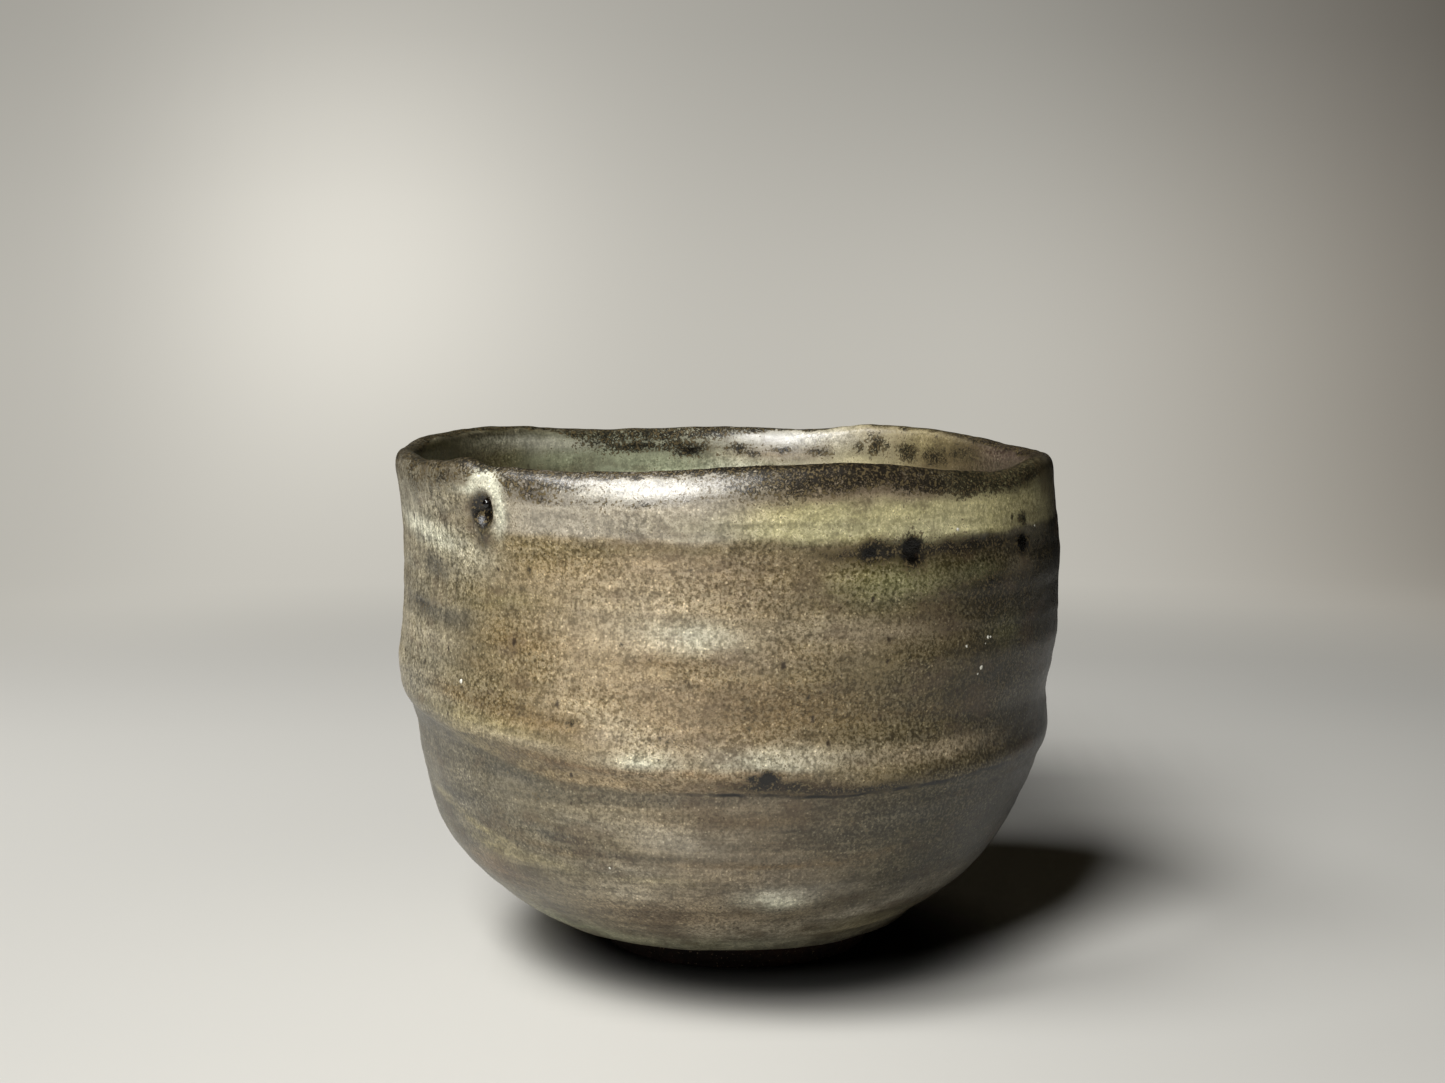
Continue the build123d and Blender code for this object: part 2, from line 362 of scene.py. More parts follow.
reliefShape = {
    "ridgeHeight": 0.05,  # of the throwing rings, in millimetres
    "ridgePitch": 6.4,
    "ridgeEnd": (78, 86),  # heights over which they fade under the lip
    "drift": 0.9,  # how far rings and tool marks wander, in radians
    "trimHeight": 0.06,
    "trimPitch": 3.1,
    "ledge": 0.20,  # the coat stands this much prouder above the trimmed edge
    "ledgeFade": 5.0,
    "dent": 0.10,
    "dentOver": (5.5, 12, 84, 90),  # heights between which the wall is dented, with its eased ends
    "grainy": 0.035,  # height of the finest lumps
    "deepest": 0.33,  # so that no hollow reaches the clay
    "rollHeight": 0.42,  # of the thick roll where the glaze stops
    "roll": (1.5, 1.1),  # the roll's middle over that line, and its half height
    # height of the trimmed edge at degrees from the front
    "trimLine": {
        -180: 47.4, -140: 47.6, -100: 46.9, -75: 46.0, -58: 44.5, -42: 41.2, -33: 39.4, -24: 38.4,
        -10: 38.3, 2: 38.2, 16: 37.5, 32: 37.8, 54: 38.7, 80: 40.2, 110: 42.5, 145: 45.6,
    },
    # soft lumps of glaze: degrees from the front, height, half width, half height, how proud
    "lumps": (
        (-13.5, 42.9, 4.6, 1.5, 0.42),
        (-21.0, 43.9, 4.0, 1.4, 0.25),
        (10.0, 42.4, 7.0, 1.4, 0.34),
        (17.5, 41.8, 5.0, 1.2, 0.22),
        (8.3, 18.8, 5.0, 1.7, 0.55),
        (-11.5, 29.3, 5.5, 2.2, 0.28),
        (-3.5, 53.0, 5.0, 1.8, 0.20),
        (-5.0, 63.0, 8.0, 2.6, 0.22),
        (30.0, 14.2, 9.0, 1.4, 0.28),
        (-2.0, 33.0, 7.0, 1.6, 0.16),
        (-34.0, 14.0, 5.0, 2.0, 0.30),
        (42.0, 79.1, 3.2, 0.6, 0.30),
        (44.6, 78.5, 1.0, 0.5, 0.35),
    ),
}
pitShape = {
    "angle": -42.0,  # degrees from the front
    "drop": 7.6,
    "width": 4.5,
    "height": 6.4,
    "depth": 1.3,
    "rim": 0.24,
    "rimAt": (1.26, 0.24),  # the swollen rim's middle and half width, in pit radii
    "wallRadius": 59.6,
    # its looks, also in pit radii
    "halo": (1.75, 0.5),  # the pale ring's middle and half width
    "glass": (0.55, 1.25),  # over which the dark glass inside ends
    "run": (-0.30, -1.50, 0.75),  # the dark run below it: aside, above and half width
    "haloAbove": (-44.5, 85.3, 5.0, 0.8, 0.05),  # more of the halo near the lip, laid out as a wash
}
spiralShape = {
    "pitch": 7.5,  # of the throwing spiral inside
    "height": 0.16,
    "ripple": 0.04,
}


def softWaves(phi, z, count, roundBy, highBy):
    # a sum of slow waves with seeded phases: roundBy is the most turns round the bowl, highBy the longest
    # wave upwards
    total = np.zeros(np.broadcast(phi, z).shape)
    for _ in range(count):
        turns = seed.integers(1, roundBy + 1)
        length = highBy * seed.uniform(0.5, 1.0)
        slant = seed.choice((-1, 1))
        phase = seed.uniform(0, 2 * np.pi, 2)
        upward = np.cos(slant * 2 * np.pi * z / length + phase[1])
        total += np.sin(np.radians(phi * turns) + phase[0]) * upward
    return total / np.sqrt(count)


def pitPlace(phi, z):
    # how far a place is from the pit's middle: 0 there and 1 at its edge, and the offsets in pit radii
    aside = np.radians(phi - pitShape["angle"]) * pitShape["wallRadius"] / (pitShape["width"] / 2)
    above = (z - (bowlShape["lipHeight"] - pitShape["drop"])) / (pitShape["height"] / 2)
    return np.hypot(aside, above), aside, above


def pitDepth(phi, z):
    # a smooth bowl-shaped hollow with a swollen rim
    away, _, _ = pitPlace(phi, z)
    hollow = pitShape["depth"] * np.clip(1 - away**2, 0, 1) ** 1.1
    rim = pitShape["rim"] * bell(away, *pitShape["rimAt"])
    return hollow - rim


def outsideRelief(phi, z):
    # how far the outside stands off the plain form: throwing rings above the trimmed edge, tool marks below
    shape = reliefShape
    edge = roundValue(shape["trimLine"], phi)
    above = smoothStep(-0.5, 0.9, z - edge)
    spiral = (z + shape["ridgePitch"] * phi / 360) / shape["ridgePitch"]
    drift = shape["drift"] * softWaves(phi, z, 4, 3, 30)
    ridges = np.sin(2 * np.pi * spiral + drift) + 0.5 * np.sin(4.4 * np.pi * spiral + 2 * drift)
    cuts = np.abs(np.sin(np.pi * (z + 0.02 * phi) / shape["trimPitch"] + 0.7 * drift))
    relief = shape["ridgeHeight"] * ridges * above * (1 - smoothStep(*shape["ridgeEnd"], z))
    relief += shape["trimHeight"] * (cuts - 0.6) * (1 - above)
    relief += shape["ledge"] * (above - 1) * bell(z, edge, shape["ledgeFade"])
    relief += shape["dent"] * softWaves(phi, z, 7, 5, 46) * between(*shape["dentOver"], z)
    grainy = cloud(phi, z, 5, 3, 33) + cloud(phi, z, 2.4, 1.8, 34)
    relief += shape["grainy"] * grainy * smoothStep(6, 9, z)
    for place, height, wide, tall, proud in shape["lumps"]:
        relief += proud * mound(phi, z, place, height, wide, tall)
    relief = np.where(relief < 0, shape["deepest"] * np.tanh(relief / shape["deepest"]), relief)
    # the glaze stops in an uneven roll
    overLine = z - bowlShape["footHeight"] - bowlShape["glazeLine"]
    roll = shape["rollHeight"] * (0.7 + 0.5 * cloud(phi, 0 * phi, 11, 4, 35))
    relief += roll * bell(overLine, *shape["roll"]) * smoothStep(0, 0.5, overLine)
    return relief - pitDepth(phi, z)


def insideRelief(phi, z, reach):
    # the throwing spiral inside, flatter towards the lip and the middle of the floor
    shape = spiralShape
    spiral = (reach + shape["pitch"] * phi / 360) / shape["pitch"]
    wave = np.sin(2 * np.pi * spiral + 0.7 * softWaves(phi, reach, 4, 3, 40))
    wave *= shape["height"] * smoothStep(3, 14, reach) * smoothStep(2, 9, np.max(reach) - reach)
    return wave + shape["ripple"] * cloud(phi, z, 5, 3, 36) * smoothStep(14, 24, z)


def shellFaces(rows, columns, capped):
    # quads over a grid that closes round its columns. Capped, a fan of triangles joins each end row to a
    # pole, and the poles are the last two vertices. Otherwise the last row meets the first.
    row = np.arange(rows - 1 if capped else rows)[:, None]
    column = np.arange(columns)[None, :]
    after = (column + 1) % columns
    above = (row + 1) % rows
    row, above = row * columns, above * columns
    faces = np.stack([row + column, row + after, above + after, above + column], -1).reshape(-1, 4).tolist()
    if capped:
        low, high, top = rows * columns, rows * columns + 1, (rows - 1) * columns
        faces += np.stack([np.full(columns, low), after[0], column[0]], -1).tolist()
        faces += np.stack([np.full(columns, high), top + column[0], top + after[0]], -1).tolist()
    return faces


def atVertices(grid, capped):
    # a grid's values vertex by vertex; a pole has the mean of its end row
    flat = grid.reshape(-1, grid.shape[-1])
    return np.concatenate([flat, grid[:1].mean(1), grid[-1:].mean(1)]) if capped else flat


def addField(mesh, name, values):
    # a row for each vertex, of one value or of a colour's four, kept in the mesh under a name
    coloured = values.shape[-1] == 4
    attribute = mesh.attributes.new(name, "FLOAT_COLOR" if coloured else "FLOAT", "POINT")
    attribute.data.foreach_set("color" if coloured else "value", values.astype(np.float32).ravel())


def addObject(name, data):
    # an object of that data in the scene
    added = bpy.data.objects.new(name, data)
    scene.collection.objects.link(added)
    return added


def makePiece(name, grids, capped=False, normals=None, fields={}):
    # one mesh from grids of points in millimetres, each a closed shell, with the fields of the first
    vertices, faces = [], []
    count = 0
    for grid in grids:
        faces += [[corner + count for corner in face] for face in shellFaces(*grid.shape[:2], capped)]
        vertices.append(atVertices(grid, capped))
        count += len(vertices[-1])
    mesh = bpy.data.meshes.new(name)
    mesh.from_pydata(np.concatenate(vertices) * millimetre, [], faces)
    mesh.polygons.foreach_set("use_smooth", np.ones(len(mesh.polygons), bool))
    for field, values in fields.items():
        addField(mesh, field, atVertices(values if values.ndim == 3 else values[..., None], capped))
    mesh.update()
    if normals is not None:
        flat = atVertices(normals, capped)
        mesh.normals_split_custom_set_from_vertices(flat / np.linalg.norm(flat, axis=1, keepdims=True))
    piece = addObject(name, mesh)
    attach(piece, rootBody)
    print(name, "made with", len(mesh.vertices), "vertices")
    return piece


gridShape = {
    "columns": 580,
    "coatRows": 144,
    "insideRows": 128,
    "hiddenRows": 26,
    "sunk": 0.15,  # how far the clay lies below the glaze's back, in millimetres
    "clayColumns": 2,  # the clay has every second column
}
pitCrowd = [(front + pitShape["angle"], 6, 2.0)]
angles = unevenSteps(front - 180, front + 180, gridShape["columns"] + 1, pitCrowd)[:-1]
coatTimes = chordTimes(coat)
lineTime = coatTimes[1]
crestTime = coatTimes[crestIndex]
pitTime = np.interp(bowlShape["lipHeight"] - pitShape["drop"], coat[:crestIndex, 1], coatTimes[:crestIndex])
ledgeTime = np.interp(40, coat[:crestIndex, 1], coatTimes[:crestIndex])


def rowsAlong(start, end, count, crowded=()):
    # places along the coat's profile, in station numbers
    return np.interp(unevenSteps(start, end, count, crowded), coatTimes, np.arange(len(coatTimes)))


def timesAt(rows):
    # how far along the coat's profile each row lies
    return np.interp(rows, np.arange(len(coatTimes)), coatTimes)[:, None]


def thrown(stations, rows):
    # the wall's points with the marks of the hand: the same pushes and rises for clay and glaze.
    # The pushes fade out at the crest.
    points = wallPoints(stations, rows, angles)
    normals = gridNormals(points)
    phi, z = fromFront(points)
    below = crestTime - timesAt(rows)
    points = points + normals * (handForm(phi, z) * smoothStep(0.2, 1.8, below))[..., None]
    points[..., 2] += lipRise(phi, z)
    lean = leanedIn(phi, z)
    turn = np.radians(phi + front)
    points[..., 0] -= lean * np.cos(turn)
    points[..., 1] -= lean * np.sin(turn)
    return points


outerRows = rowsAlong(
    lineTime,
    crestTime,
    gridShape["coatRows"],
    [(lineTime, 2.5, 2.5), (ledgeTime, 3.0, 1.2), (pitTime, 4.5, 1.0), (crestTime, 2.5, 2.5)],
)
innerRows = rowsAlong(crestTime, coatTimes[-1], gridShape["insideRows"], [(crestTime, 2.5, 2.5)])
hiddenOuter = rowsAlong(
    lineTime,
    crestTime,
    gridShape["hiddenRows"],
    [(pitTime, 4.0, 4.0), (ledgeTime, 7.0, 3.0)],
)
hiddenInner = rowsAlong(crestTime, coatTimes[-1], gridShape["hiddenRows"])

# the whole coat as one skin, so that both glazes meet at the crest without a seam
coatRows = np.concatenate([outerRows, innerRows[1:]])
coatPoints = thrown(coat, coatRows)
coatNormals = gridNormals(coatPoints)
phi, z = fromFront(coatPoints)
outerCount = len(outerRows)
reach = timesAt(coatRows[outerCount - 1:]) - crestTime + 0 * phi[outerCount - 1:]
relief = np.zeros(phi.shape)
relief[:outerCount] = outsideRelief(phi[:outerCount], z[:outerCount])
relief[outerCount - 1:] = insideRelief(phi[outerCount - 1:], z[outerCount - 1:], reach)
coatPoints = coatPoints + coatNormals * relief[..., None]
coatNormals = gridNormals(coatPoints)

clayOuter = thrown(clay, hiddenOuter)
clayPhi, clayZ = fromFront(clayOuter)
sunk = gridShape["sunk"] + np.maximum(pitDepth(clayPhi, clayZ), 0)[..., None]
clayOuter = clayOuter - gridNormals(clayOuter) * sunk
clayInner = thrown(clay, hiddenInner)
clayInner = clayInner - gridNormals(clayInner) * gridShape["sunk"]
print("wall thrown")


paints = {
    "beige": "#9c8d74",
    "paleBeige": "#b9ad94",
    "milk": "#e2e0c9",
    "cream": "#cfc694",
    "paleCream": "#ddd6a8",
    "greyCream": "#b7b09a",
    "silver": "#b5ad9c",
    "green": "#8f8f68",
    "celadon": "#a5ab8c",
    "olive": "#75684b",
    "brown": "#65502f",
    "rust": "#7a5a38",
    "pinkBrown": "#8c7a69",
    "darkOlive": "#3a3526",
    "black": "#17130c",
    "blueGrey": "#4b4943",
    "stone": "#6b665a",
    "paleStone": "#a09886",
    "straw": "#a69a70",
    "moss": "#6a6a55",
    "plum": "#4d3f37",
    "umber": "#3a2813",
    # the pale paint of the painted sheens on the lip
    "sheenWhite": "#d8d4c8",
}

# colour of the upper wall and of the trimmed wall at degrees from the front. Towards 70 degrees they grow
# dark:
# partly the glaze's own olive, partly painted shade on the side turned away from the lamps
upperWall = {
    -160: "#7f765f", -115: "#8d856f", -75: "#a0967e", -60: "#938a73", -45: "#7e7257", -14: "#978569",
    6: "#84745a", 22: "#6b5f45", 36: "#4e442d", 52: "#322b1a", 70: "#171309", 95: "#463f2e", 130: "#6b6149",
}
trimmedWall = {
    -150: "#6d6655", -95: "#726c58", -68: "#686252", -46: "#67604e", -20: "#7a6f58", -4: "#7d705a",
    12: "#635845", 30: "#443d2a", 50: "#2b2718", 72: "#19160c", 100: "#4a463a",
}

# each wash: paint, strength, degrees from the front, height, half width and half height in millimetres, and
# where it slants its rise per millimetre to the right
upperWashes = (
    # these two: the pale middle of the wall, partly pale glaze and partly a painted highlight
    ("paleBeige", 0.50, -12, 66.5, 16, 6.0),
    ("milk", 0.60, -5, 63.6, 7, 2.2),
    ("paleBeige", 0.60, -17, 48.0, 9, 3.2, -0.35),
    # these three: pale glaze on the bulge above the trimmed edge, with a painted highlight where it faces the
    # lamps
    ("milk", 0.85, -14, 43.4, 5, 1.5),
    ("milk", 0.95, 7, 43.5, 9, 1.5),
    ("paleBeige", 0.70, 12, 44.0, 15, 1.6, -0.01),
    ("beige", 0.75, 36, 43.4, 15, 1.7, 0.05),
    ("beige", 0.45, -25, 57.0, 6, 7.0),
    ("green", 0.60, 26, 71.5, 11, 3.0),
    ("paleBeige", 0.40, 15, 64.6, 8, 2.0),
    ("paleBeige", 0.30, 56, 72.6, 4, 1.6),
    ("stone", 0.75, -66, 48.6, 12, 3.6),
    ("brown", 0.35, 13, 53.6, 11, 2.4),
    # at the right: partly the glaze's dark olive, partly painted shade on the side turned away from the lamps
    ("darkOlive", 0.60, 50, 54.0, 9, 4.4),
    ("green", 0.40, 44, 72.4, 5, 1.6),
    ("beige", 0.60, 25, 63.8, 13, 2.2),
    ("beige", 0.40, 10, 60.4, 12, 1.5),
    ("green", 0.25, 51, 62.0, 5, 3.0),
    # these four at the right: partly the glaze's dark olive, partly painted shade on the side turned away
    # from the lamps
    ("darkOlive", 0.60, 45, 67.5, 8, 3.2),
    ("darkOlive", 0.50, 65, 67.0, 7, 9.0),
    ("darkOlive", 0.50, 52, 57.0, 10, 3.2),
    ("darkOlive", 0.40, 60, 50.0, 12, 6.0),
    ("olive", 0.45, 10, 57.6, 26, 1.1, -0.02),
    ("brown", 0.60, -9, 59.4, 8, 0.8),
    ("brown", 0.35, 2, 55.4, 10, 1.0),
    ("brown", 0.48, 6, 51.5, 14, 2.4, -0.02),
    ("brown", 0.35, 30, 50.2, 16, 1.0, 0.02),
    ("olive", 0.35, -5, 65.6, 11, 0.6),
    ("brown", 0.68, -52, 51.6, 7, 1.5, -0.10),
    ("brown", 0.58, -35, 50.0, 12, 1.5, -0.08),
    ("brown", 0.45, -27, 48.6, 5, 1.2, -0.05),
    ("brown", 0.58, -36, 61.3, 8, 1.9, -0.05),
    ("brown", 0.40, -44, 57.0, 6, 1.2, -0.05),
    ("olive", 0.45, -45, 59.8, 7, 2.0),
    ("olive", 0.30, -33, 68.0, 10, 1.8),
    ("olive", 0.45, -28, 76.0, 13, 2.2),
    ("straw", 0.45, -40, 67.4, 7, 0.9, 0.05),
    ("straw", 0.25, -55, 47.8, 14, 1.6, -0.08),
    ("straw", 0.45, -40, 46.6, 14, 1.4, -0.10),
    ("paleBeige", 0.45, -34, 44.9, 13, 1.0, -0.10),
    ("milk", 0.95, -66, 78.6, 13, 1.9, -0.08),
    ("milk", 0.70, -54, 76.4, 8, 1.9, -0.16),
    ("greyCream", 0.55, -46, 75.2, 7, 2.0, -0.05),
    ("greyCream", 0.50, -62, 82.2, 12, 1.7),
    ("greyCream", 0.40, -47, 72.5, 6, 2.2),
    ("milk", 0.30, -72, 71.0, 5, 1.2),
    ("blueGrey", 0.70, -57, 71.6, 6, 1.7, -0.10),
    ("blueGrey", 0.95, -63, 64.4, 9, 1.7, -0.06),
    ("blueGrey", 0.60, -52, 63.6, 7, 1.5),
    ("blueGrey", 0.45, -66, 68.0, 6, 1.0),
    ("blueGrey", 0.40, -56, 80.2, 5, 1.2),
    ("paleBeige", 0.35, -63, 59.8, 10, 1.6),
    ("stone", 0.45, -66, 54.0, 10, 5.0),
    ("greyCream", 0.30, 58, 78.2, 9, 2.2),
    ("milk", 0.30, -72, 84, 9, 3.0),
    ("paleStone", 0.55, -74, 68, 6, 10.0),
    ("milk", 0.55, 28, 79.6, 4, 1.2, 0.05),
    # a painted highlight on the glaze lump under the band
    ("paleCream", 0.80, 42, 79.4, 3.6, 0.6),
)
trimmedWashes = (
    ("straw", 0.55, -64, 30.6, 8, 0.8, -0.10),
    ("straw", 0.75, -49, 27.2, 7, 0.7, -0.22),
    ("straw", 0.70, -47, 24.3, 7, 1.2, -0.10),
    ("straw", 0.45, -36, 23.9, 9, 0.8, -0.06),
    ("straw", 0.35, -14, 22.5, 7, 0.8, -0.04),
    ("blueGrey", 0.50, -55, 31.8, 8, 1.2, -0.12),
    ("blueGrey", 0.70, -32, 29.6, 8, 0.8, -0.16),
    ("blueGrey", 0.50, -38, 38.4, 11, 1.6, -0.14),
    ("blueGrey", 0.45, -8, 37.0, 14, 1.2),
    ("blueGrey", 0.45, -22, 26.6, 8, 0.7, -0.08),
    ("paleStone", 0.55, -8, 29.6, 8, 2.2, -0.12),
    ("paleStone", 0.40, -22, 31.6, 8, 1.6, -0.05),
    # a painted highlight on the glaze lump low on the front
    ("milk", 1.00, 8.3, 19.2, 6.0, 1.8),
    ("paleStone", 0.65, 14, 20.2, 9, 1.5),
    ("paleStone", 0.95, 31, 15.2, 11, 1.2, 0.06),
    ("paleStone", 0.45, -18, 19.6, 8, 1.8),
    ("paleStone", 0.35, -60, 12.0, 14, 2.0),
    ("brown", 0.50, -33, 26.9, 10, 0.7, -0.10),
    ("brown", 0.85, 8, 25.4, 16, 0.5, -0.02),
    ("brown", 0.40, 26, 26.4, 10, 0.5, 0.02),
    ("brown", 0.40, 3, 33.6, 12, 1.0),
    ("rust", 0.32, -16, 15.8, 14, 3.0),
    ("rust", 0.50, -52, 19.6, 11, 3.0),
    ("paleStone", 0.50, -21, 24.2, 8, 1.5),
    ("paleStone", 0.50, 44, 17.4, 20, 2.8),
    ("darkOlive", 0.42, 24, 30.2, 24, 3.4),
    # painted bounce light on the lowest wall, which faces the floor
    ("paleStone", 0.85, 14, 9.5, 34, 4.0),
    ("straw", 0.35, 34, 11.0, 16, 2.4),
    ("celadon", 0.40, -4, 8.0, 26, 1.8),
    # painted rim light along the bottom edge at the left
    ("celadon", 0.55, -42, 9.5, 18, 2.0, -0.05),
    ("blueGrey", 0.40, 33, 33.2, 11, 1.8),
    ("darkOlive", 0.50, 60, 19.0, 10, 5.5),
)
# iron that bleeds through in specks, laid out in the same way, without the paint
ironStains = (
    (1.05, 40, 76.8, 22, 1.3),
    (1.80, 22.5, 76.8, 2.4, 1.6),
    (0.85, 18, 76.6, 8, 1.0),
    (1.15, 26, 76.8, 6, 1.6),
    (2.20, 29.7, 76.6, 2.3, 2.8),
    (1.00, 40, 76.4, 7, 1.6),
    (0.12, 20, 70, 14, 5),
    (0.22, 38, 66, 14, 8),
    (0.45, 50, 55, 10, 5),
    (0.50, 66, 73.6, 9, 1.0),
    (0.85, 48, 70.4, 6, 2.2),
    (0.65, 47, 66.5, 8, 3.0),
    (0.50, 56, 70.5, 3.5, 4.5),
    (0.60, 44, 59.6, 3, 0.5),
    (0.35, -57, 71.5, 4, 1.2, -0.1),
    (0.42, -63, 64.4, 7, 1.2),
    (0.40, -67, 72.5, 3, 0.6),
    (1.25, 7, 39.2, 7, 1.1),
    (1.05, 22, 38.5, 11, 0.9),
    (0.45, -8.5, 46.6, 2.4, 0.9),
    (0.40, -24.5, 44.0, 5, 0.4, -0.05),
    (0.35, -46.0, 80.2, 2.0, 2.0),
)
# single spots of melted iron, in the same way
ironSpots = (
    (2.6, 6.1, 40.9, 1.8, 1.15),
    (1.7, 3.7, 40.9, 1.1, 0.8),
    (2.2, 55.9, 75.9, 2.2, 1.8),
    (1.3, 56.4, 79.9, 1.6, 1.3),
    (1.4, -25.3, 49.2, 0.6, 0.6),
    (1.3, -11.0, 48.8, 0.5, 0.5),
    (1.0, -9.0, 46.8, 0.5, 0.8),
    (0.9, 3.5, 49.0, 0.5, 0.8),
    (1.2, -16.3, 62.0, 0.45, 0.6),
    (1.0, -19.0, 66.3, 0.4, 0.7),
    (1.1, -33.0, 73.0, 0.5, 0.9),
    (0.9, -15.5, 80.0, 1.2, 0.35),
    (1.3, -60.8, 55.2, 0.5, 0.8),
    (1.0, -34.0, 35.2, 0.4, 0.7),
    (1.0, 16.8, 51.8, 0.35, 0.8),
    (1.0, 12.7, 53.8, 0.4, 0.5),
    (1.2, 57.3, 57.5, 0.7, 1.0),
    (1.0, 61.5, 56.5, 0.6, 0.8),
    (1.0, -68.5, 57.5, 0.6, 0.9),
    (1.2, 62.5, 73.0, 0.7, 1.2),
    (0.9, -3.0, 74.5, 0.35, 0.7),
    (0.9, 8.0, 67.0, 0.35, 0.5),
    (0.9, -26.0, 60.0, 0.35, 0.5),
    (0.9, -6.0, 22.0, 0.5, 0.4),
    (0.8, 15.0, 31.0, 0.35, 0.5),
    (1.3, -118.0, 62.0, 0.9, 0.8),
    (1.3, 128.0, 70.0, 1.3, 1.0),
    (1.2, 164.0, 55.0, 0.7, 0.9),
    (1.2, -150.0, 43.0, 0.8, 0.7),
)


def roundColour(colours, phi):
    # the colours named at degrees from the front, blended smoothly round the bowl
    places = sorted(colours)
    channels = np.array([toLinear(colours[place])[:3] for place in places])
    return np.stack([smoothRound(places, channels[:, i], phi) for i in range(3)], -1)


def laid(colour, paint, amount):
    # a paint over the colour, by an amount from 0 to 1
    return colour + (np.array(toLinear(paints[paint])[:3]) - colour) * np.clip(amount, 0, 1)[..., None]


def washed(colour, washes, phi, z):
    # the washes laid one over another
    for paint, strength, *place in washes:
        colour = laid(colour, paint, strength * mound(phi, z, *place))
    return colour


def stained(stains, phi, z):
    # the strongest stain at each place
    iron = np.zeros(phi.shape)
    for strength, *place in stains:
        iron = np.maximum(iron, strength * mound(phi, z, *place))
    return iron


def clouds(phi, z, layers):
    # layers of seeded noise on top of one another
    return sum(strength * cloud(phi, z, *layer) for strength, *layer in layers)


# the last layer is the painted shade in the crease along the trimmed edge
glazeLayers = ("iron", "flecks", "gloss", "runs", "overEdge", "seam")
# how colours wander round and up the wall, in degrees and millimetres, and how their tone drifts. Each layer:
# strength, a cell's size across and upright in millimetres, number
wandering = {
    "outsideRound": ((1.1, 7, 4, 1), (0.6, 2.2, 1.6, 2)),
    "outsideUp": ((0.45, 9, 3, 3), (0.35, 2.5, 1.3, 4)),
    "outsideTone": (
        (0.09, 14, 9, 6),
        (0.09, 5, 3, 7),
        (0.07, 2.2, 1.8, 14),
        (0.10, 40, 1.7, 8),  # long level streaks left by the wheel
        (0.08, 22, 0.9, 9),
    ),
    "insideRound": ((1.6, 7, 4, 21), (0.8, 2.2, 1.6, 22)),
    "insideUp": ((0.5, 9, 3, 23), (0.35, 2.5, 1.3, 24)),
    "insideTone": ((0.09, 16, 8, 25), (0.10, 40, 2.2, 26), (0.09, 4, 3, 27)),
}
bandShape = {
    "foot": (77.8, 79.4),  # heights over which the cream band under the lip begins
    "dusk": (83.0, 86.0),  # heights over which it dims into the lip's iron
    # how strong the band is at degrees from the front
    "strength": {
        -180: 0.6, -120: 0.35, -80: 0.5, -46: 0.25, -34: 0.7, -10: 0.75, 12: 0.85, 24: 0.85, 34: 1.0,
        54: 0.95, 72: 0.40, 110: 0.4, 150: 0.6,
    },
    "yellow": (-4, 14, 66, 80),  # degrees between which it is yellow, with its eased ends
    "yellowBack": (120, 150),  # and degrees over which it turns yellow again at the back
    "pinkEnd": (30, 44),  # and over which the pink tinge of its dusk ends
    "bright": ((1.0, 12, 80.6, 16, 1.7), (1.2, 34, 79.4, 8, 1.6)),  # its palest places, laid out as stains
    "line": (77.2, 1.0),  # the olive line under it: height and half height
    "lineRound": (-42, -32, 16, 30),
    "rivulets": (77, 80, 82, 85),  # heights between which it runs, with its eased ends
}
lipShape = {
    # how far down the lip's iron reaches, in millimetres
    "deep": {
        -180: 4.2, -150: 4.6, -110: 5.4, -70: 6.0, -54: 5.6, -38: 4.4, -22: 3.6, -5: 4.2, 8: 5.6, 24: 5.0,
        40: 4.2, 58: 3.4, 75: 3.2, 110: 4.0, 150: 4.6,
    },
    # how much iron the lip holds
    "iron": {
        -180: 0.8, -120: 0.7, -80: 0.62, -56: 0.68, -42: 0.85, -33: 0.95, -27: 0.75, -20: 0.35, -12: 0.30,
        -4: 0.60, 3: 0.90, 12: 1.10, 26: 1.15, 38: 1.12, 50: 1.05, 66: 0.90, 100: 0.7,
    },
    # how glossy the lip is, and how strongly its painted sheen shows: the lamps' highlight painted pale
    "gloss": {-180: 0.5, -120: 0.4, -60: 0.45, -40: 0.8, -16: 1.0, 0: 0.9, 12: 0.25, 60: 0.2, 110: 0.3},
    "silver": {
        -180: 0.0, -60: 0.0, -44: 0.1, -34: 0.15, -27: 0.4, -18: 0.85, -9: 0.8, 0: 0.4, 10: 0.0, 90: 0.0,
    },
    "sheenDrop": (0.5, 1.4, 3.0, 6.5),  # millimetres below the crest between which the painted sheen lies
    "crest": (0.6, 1.7),  # and over which its darkest edge ends
    "dusky": (4.6, 1.0),  # the dusky line under the painted sheen: how far below the crest, half height
    "duskyRound": (-40, -34, 2, 14),
    "duskyPit": (-32, 3.4, 5.5, 2.6),  # its wide end by the pit, laid out as a stain
}
ledgeShape = {
    "brown": (1.3, 1.2),  # millimetres above the trimmed edge, and half height
    "brownRound": (-8, 3, 16, 28),
    "thin": (3.4, 0.5),  # the rusty line above the brown
    "thinRound": (-42, -30, 8, 16),
    "edgeShadeFrom": (-14, 2),  # degrees over which the painted shade along the edge begins
}


def lipDepth(drop, deep, phi, z):
    # how far below the crest, as a ragged share of how deep the lip's iron reaches
    return drop / deep + 0.09 * cloud(phi, z * 0.2, 1.6, 1.5, 10)


